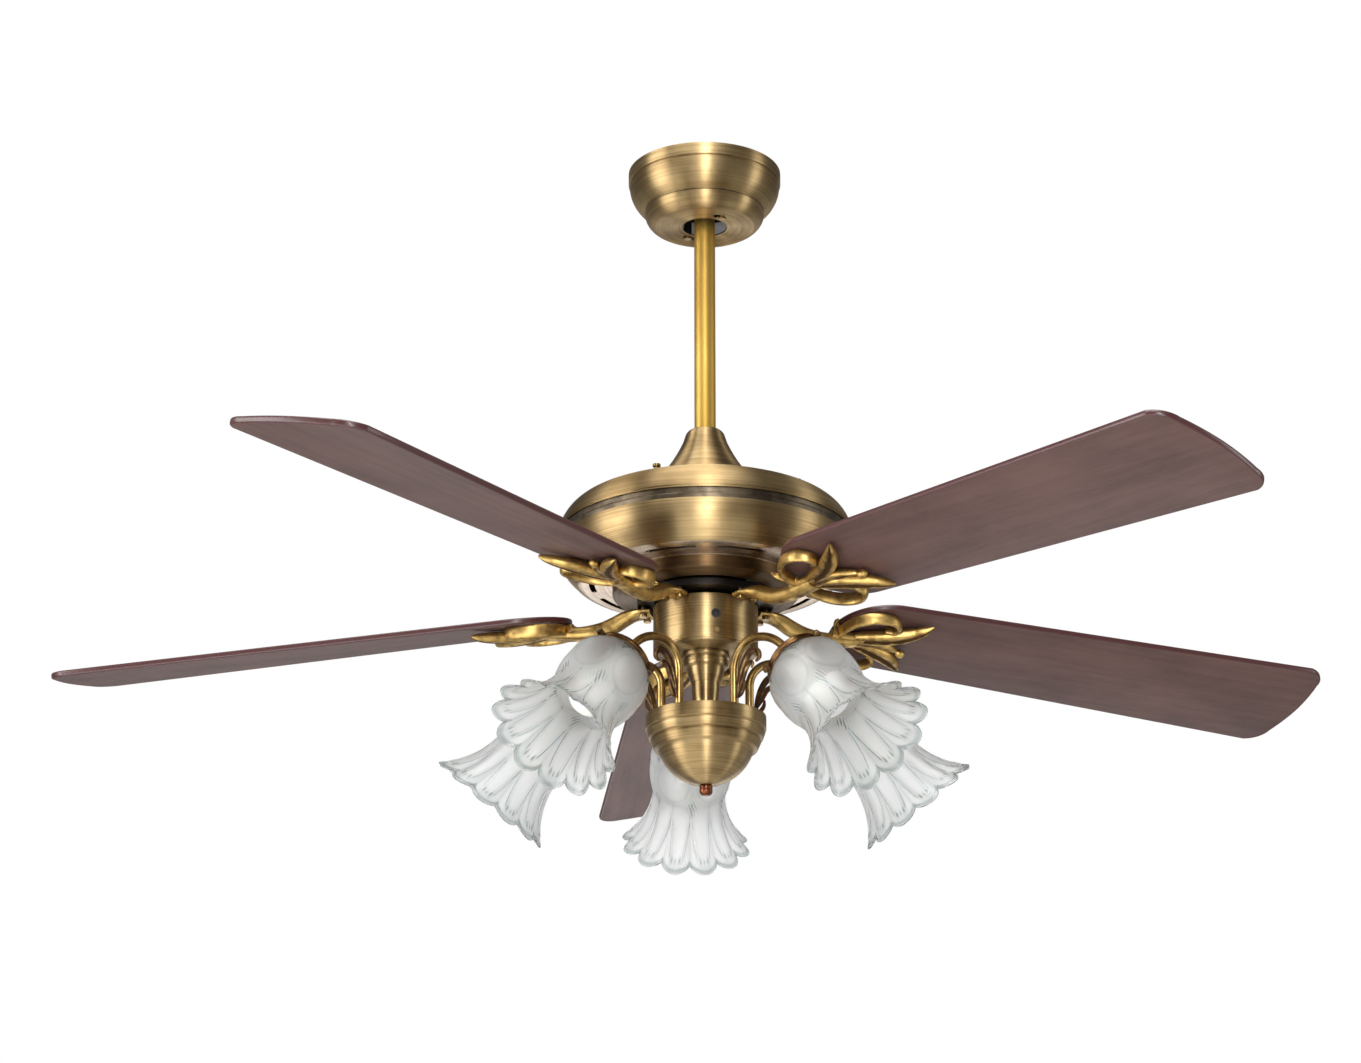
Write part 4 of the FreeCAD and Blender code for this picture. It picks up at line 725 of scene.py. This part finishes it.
# The leaves' grooves are darkened as painted shade, over a real stain in blotches and all over.
aged_gold = gilt("aged_gold", tint(176, 146, 96), tint(72, 50, 36), cover=0.25)
add_piece(gathered("curled_leaves", all_leaves), "drop", aged_gold, ["arm_leaves"], crease=60)

# ---------------------------------------------------------------- lamp caps, screws, sockets and bulbs
# A dark bronze cap holds each glass by three thumb screws, with a glazed socket and an opal bulb inside.
# All of them point out and down along the lamp's own axis.


def on_lamp(points, azimuth, facing):
    """Millimetres with z along a lamp's axis from the back of its cap, as metres in the fan's frame. The lamp
    hangs on the arm at azimuth and is swivelled on it to point toward facing."""
    turn = turn_about(2, facing) @ turn_about(1, 90 + LAMP_TILT)
    return (points @ turn.T + turn_about(2, azimuth) @ [CAP_RADIUS, 0, -CAP_DEPTH]) * MM


def turned_on_lamps(name, corners, segments, size=0.35):
    """The same turned shape on all five lamps, as one mesh."""
    points, faces = turned_points(eased(outline(corners, fineness=1.2), size), segments)
    points = points.reshape(-1, 3) / MM * [1, 1, -1]
    places = [on_lamp(points, *lamp) for lamp in zip(ARM_AZIMUTHS, LAMP_FACINGS)]
    return mesh_of(name, np.concatenate(places), np.concatenate([faces + len(points) * i for i in range(5)]))


lamp_caps = turned_on_lamps("lamp_caps", [
    (0, 0.05), (6.4, 0.05), (8.4, 1.2), (9.4, 4.4, -30), (27.4, 9), (30.4, 12), (30.4, 14.4), (29.9, 14.9),
    (30.4, 15.4), (30.4, 17.6), (29.4, 17.6), (29.4, 12.6), (26.6, 10.2, 29), (9, 6), (0, 6)], 96)
add_piece(lamp_caps, "drop", dark_bronze, ["shade_caps"])
glazed = cast_or_plated("glazed_socket", tint(232, 230, 222), tint(214, 210, 200), 0.2, metallic=0.0)
dress(glazed, "lamp_sockets")
dress(dark_bronze, "thumb_screws")
opal = Finish("opal_bulb", Transmission_Weight=0.25, IOR=1.45, Subsurface_Weight=0.2)
opal_cloud = opal.place.noise(120.0, 2.0)
opal_bulb = opal.join(Base_Color=opal_cloud.colours(tint(250, 250, 247), tint(238, 238, 234)),
                      Roughness=opal_cloud * 0.1 + 0.3)
dress(opal_bulb, "bulbs")

# ---------------------------------------------------------------- glass shades
# Pressed glass bells, frosted inside each panel and petal and left clear along the lines between. Six
# oval panels go round the bulge, and twelve petals with folds between them spread to a scalloped rim.

NECK, RIM_VALLEY = 13.2, 131.4
WALL = 3.0
PETALS = 12
PANELS = 6
glass_line = outline([(27.6, NECK), (27.6, 18.4), (30, 19.6, 26), (40.5, 44.6, 60), (36, 76.6, -84),
                      (62.5, 136.7)], closed=False, fineness=1.0)


def ridge(distance, width):
    """A smooth raised line: e^(-(distance / width)^2)."""
    return np.exp(-(distance / width) ** 2)


def gate(value, start, width):
    """0 before start, 1 past start + width, and straight between. A negative width turns it round."""
    return np.clip((value - start) / width, 0, 1)


def panel_lines(panel, along):
    """Relief on the bulge: two rings round each oval, hatching above and rays below. An oval's distance is
    the length of (across / half width, along / half height), which is 1 on its outline."""
    oval = np.hypot((panel - 0.5) / 0.42, (along - 51) / 21)
    above = gate(oval, 1.3, 0.2) * gate(along, 46, -5) * gate(along, 18, 3)
    below = gate(oval, 1.25, 1 / 6) * ridge(along - 74, 11) * ridge(np.minimum(panel, 1 - panel), 0.22)
    hatching = np.cos(2 * math.pi * (along / 5.2 + 1.6 * np.abs(panel - 0.5))) ** 2
    rays = np.cos(math.pi * PANELS * 2 * (panel + 0.5) + (along - 74) / 2.6) ** 2
    rings = 0.28 * ridge(oval - 1, 0.09) + 0.22 * ridge(oval - 1.24, 0.08)
    return rings + 0.9 * hatching * above + 0.7 * rays * below, above


def petal_lines(petal, along, reach):
    """Relief on the petals: two lines curl out from each fold, and three short dashes sit by the rim."""
    fold = np.minimum(petal, 1 - petal)
    curl = 0.08 + 0.26 * gate(along, 88, 46) ** 1.8
    fading = gate(along, 82, 14) * gate(reach - along, 3, 8)
    dashes = sum(ridge((petal - middle) * 30, 1.2) for middle in (0.36, 0.5, 0.64))
    curls = 0.55 * ridge(fold - curl, 0.04) + 0.3 * ridge(fold - curl - 0.1, 0.035)
    return curls * fading + 0.6 * dashes * ridge(along - reach + 9, 3.0), 0.35 * ridge(fold, 0.07)


def bell(columns=384, rows=126):
    """Point(t, a): at share t of the way from neck to rim and angle a round the axis, the radius is the
    bell's line plus petal swell and fine lines. The swell is the sine of half a turn across each petal."""
    share = np.linspace(0, 1, rows)[:, None]
    angle = (np.arange(columns) * 2 * math.pi / columns)[None]
    petal = (angle * PETALS / (2 * math.pi)) % 1
    panel = (angle * PANELS / (2 * math.pi)) % 1
    swell = np.abs(np.sin(math.pi * petal))
    reach = RIM_VALLEY + 5.4 * swell ** 0.7
    along = NECK + share * (reach - NECK)
    opening = gate(along, 66, 66)
    radius = np.interp(along, glass_line[:, 1], glass_line[:, 0]) + 1.2 * opening
    radius = radius + (swell ** 0.8 - 0.75) * (0.4 * ridge(along - 46, 20) + 4.4 * opening ** 1.2)
    on_panels, above = panel_lines(panel, along)
    on_petals, folds = petal_lines(petal, along, reach)
    lines = on_panels + on_petals
    rim = ridge(along - reach + 1.6, 2.2)
    # Clear also greys the glass colour here: painted shade along the lines, rim and hatching, over the
    # glass's own faint tint.
    clear = np.clip(lines * 1.3 + rim * 0.9 + folds * gate(along, 70, 8) + above * 0.45, 0, 1)
    radius = radius + lines * 0.8 + rim * 0.4
    inner = radius - WALL - lines * 0.5 + 0.9 * share
    around = np.stack([np.cos(angle) + 0 * radius, np.sin(angle) + 0 * radius], -1)
    outside, inside = (
        np.concatenate([around * wide[..., None], along[..., None]], -1) for wide in (radius, inner))
    lip = (outside[-1:] + inside[-1:]) / 2 + [0, 0, 1.0]
    return np.concatenate([outside, lip, inside[::-1]]), np.concatenate([clear, clear[-1:], clear[::-1]])


def frosted():
    """Frosted glass, clear and smooth where the attribute clear is high, and grey-green there: partly the
    clear glass's own tint, partly painted shade on its lines.
    """
    finish = Finish("frosted_glass", Transmission_Weight=0.92, IOR=1.36)
    clear = finish.attribute("clear")
    cloud = finish.place.noise(70.0, 3.0)
    return finish.join(
        Base_Color=clear.colours(tint(248, 248, 248), tint(178, 186, 184)),
        Roughness=(cloud * 0.08 + 0.36) - clear * 0.24,
        Normal=cloud.bump(0.03, 0.0006))


frosted_glass = frosted()
bell_points, bell_clear_and_shade = bell()
bell_faces = quads(*bell_points.shape[:2], rows_wrap=True)
for number, lamp in enumerate(zip(ARM_AZIMUTHS, LAMP_FACINGS), start=1):
    mesh = mesh_of("petal_glass_%d" % number, on_lamp(bell_points, *lamp), bell_faces, clear=bell_clear_and_shade)
    add_piece(mesh, "drop", frosted_glass, ["glass_shade_%d" % number], crease=75)

# ---------------------------------------------------------------- floor, light and camera
# A plain pale floor far below the fan. The surround is white behind the fan and through its glass, and
# grey in its reflections, and soft boxes stand in front, at both sides, below, above and behind.

floor_mesh = bpy.data.meshes.new("floor")
FLOOR_HALF, FLOOR_HEIGHT = 6, -2.6
corners = [(x * FLOOR_HALF, y * FLOOR_HALF, FLOOR_HEIGHT) for x, y in ((-1, -1), (1, -1), (1, 1), (-1, 1))]
floor_mesh.from_pydata(corners, [], [(0, 1, 2, 3)])
floor = bpy.data.objects.new("floor", floor_mesh)
bpy.context.collection.objects.link(floor)
floor_finish = Finish("pale_floor")
floor_cloud = floor_finish.place.noise(3.0, 2.0)
floor_mesh.materials.append(floor_finish.join(
    Base_Color=floor_cloud.colours(tint(238, 237, 234), tint(232, 231, 228)),
    Roughness=floor_cloud * 0.1 + 0.6))

world = bpy.data.worlds.new("surround")
bpy.context.scene.world = world
world.use_nodes = True
world_start = Wire(world.node_tree, None)
plain = world.node_tree.nodes["Background"]
plain.inputs["Color"].default_value = (0.24, 0.235, 0.23, 1)
pale = world_start.node("ShaderNodeBackground", {"Color": (1, 1, 1, 1), "Strength": 1.0})
seen = world_start.node("ShaderNodeLightPath", {}, output="Is Camera Ray")
through = world_start.node("ShaderNodeLightPath", {}, output="Is Transmission Ray")
both = world_start.node("ShaderNodeMixShader", {
    0: seen.maths("MAXIMUM", seen, through), 1: Wire(world.node_tree, plain.outputs[0]), 2: pale})
world.node_tree.links.new(both.socket, world.node_tree.nodes["World Output"].inputs["Surface"])

MOTOR_HEIGHT = -0.42


def soft_box(name, azimuth, distance, height, width, tall, power):
    """A flat light on a circle round the fan, in metres and watts, facing its motor."""
    light = bpy.data.lights.new(name, "AREA")
    light.shape = "RECTANGLE"
    light.size, light.size_y = width, tall
    light.energy = power
    lamp = bpy.data.objects.new(name, light)
    bpy.context.collection.objects.link(lamp)
    angle = math.radians(azimuth)
    lamp.location = (distance * math.cos(angle), distance * math.sin(angle), height)
    back = lamp.location.copy()
    back.z -= MOTOR_HEIGHT
    lamp.rotation_euler = back.to_track_quat("Z", "Y").to_euler()


soft_box("front_strip", -89, 3.7, -0.6, 0.5, 5.0, 150)
soft_box("left_box", -163, 3.0, -0.4, 1.6, 3.6, 105)
soft_box("right_box", -6, 3.2, -0.4, 0.8, 3.0, 28)
soft_box("low_box", -125, 2.6, -2.45, 2.2, 1.0, 34)
soft_box("high_box", -110, 0.9, 2.4, 2.4, 2.4, 110)
soft_box("rear_card", 90, 3.0, -1.55, 2.4, 0.9, 11)

camera = bpy.data.objects.new("camera", bpy.data.cameras.new("camera"))
bpy.context.collection.objects.link(camera)
camera.location = (-0.0242, -3.2, -1.528)
camera.rotation_euler = (math.radians(90 + 19.7), 0, 0)
camera.data.sensor_width = 36
camera.data.lens = 92.4
bpy.context.scene.camera = camera
bpy.context.scene.view_settings.view_transform = "Standard"
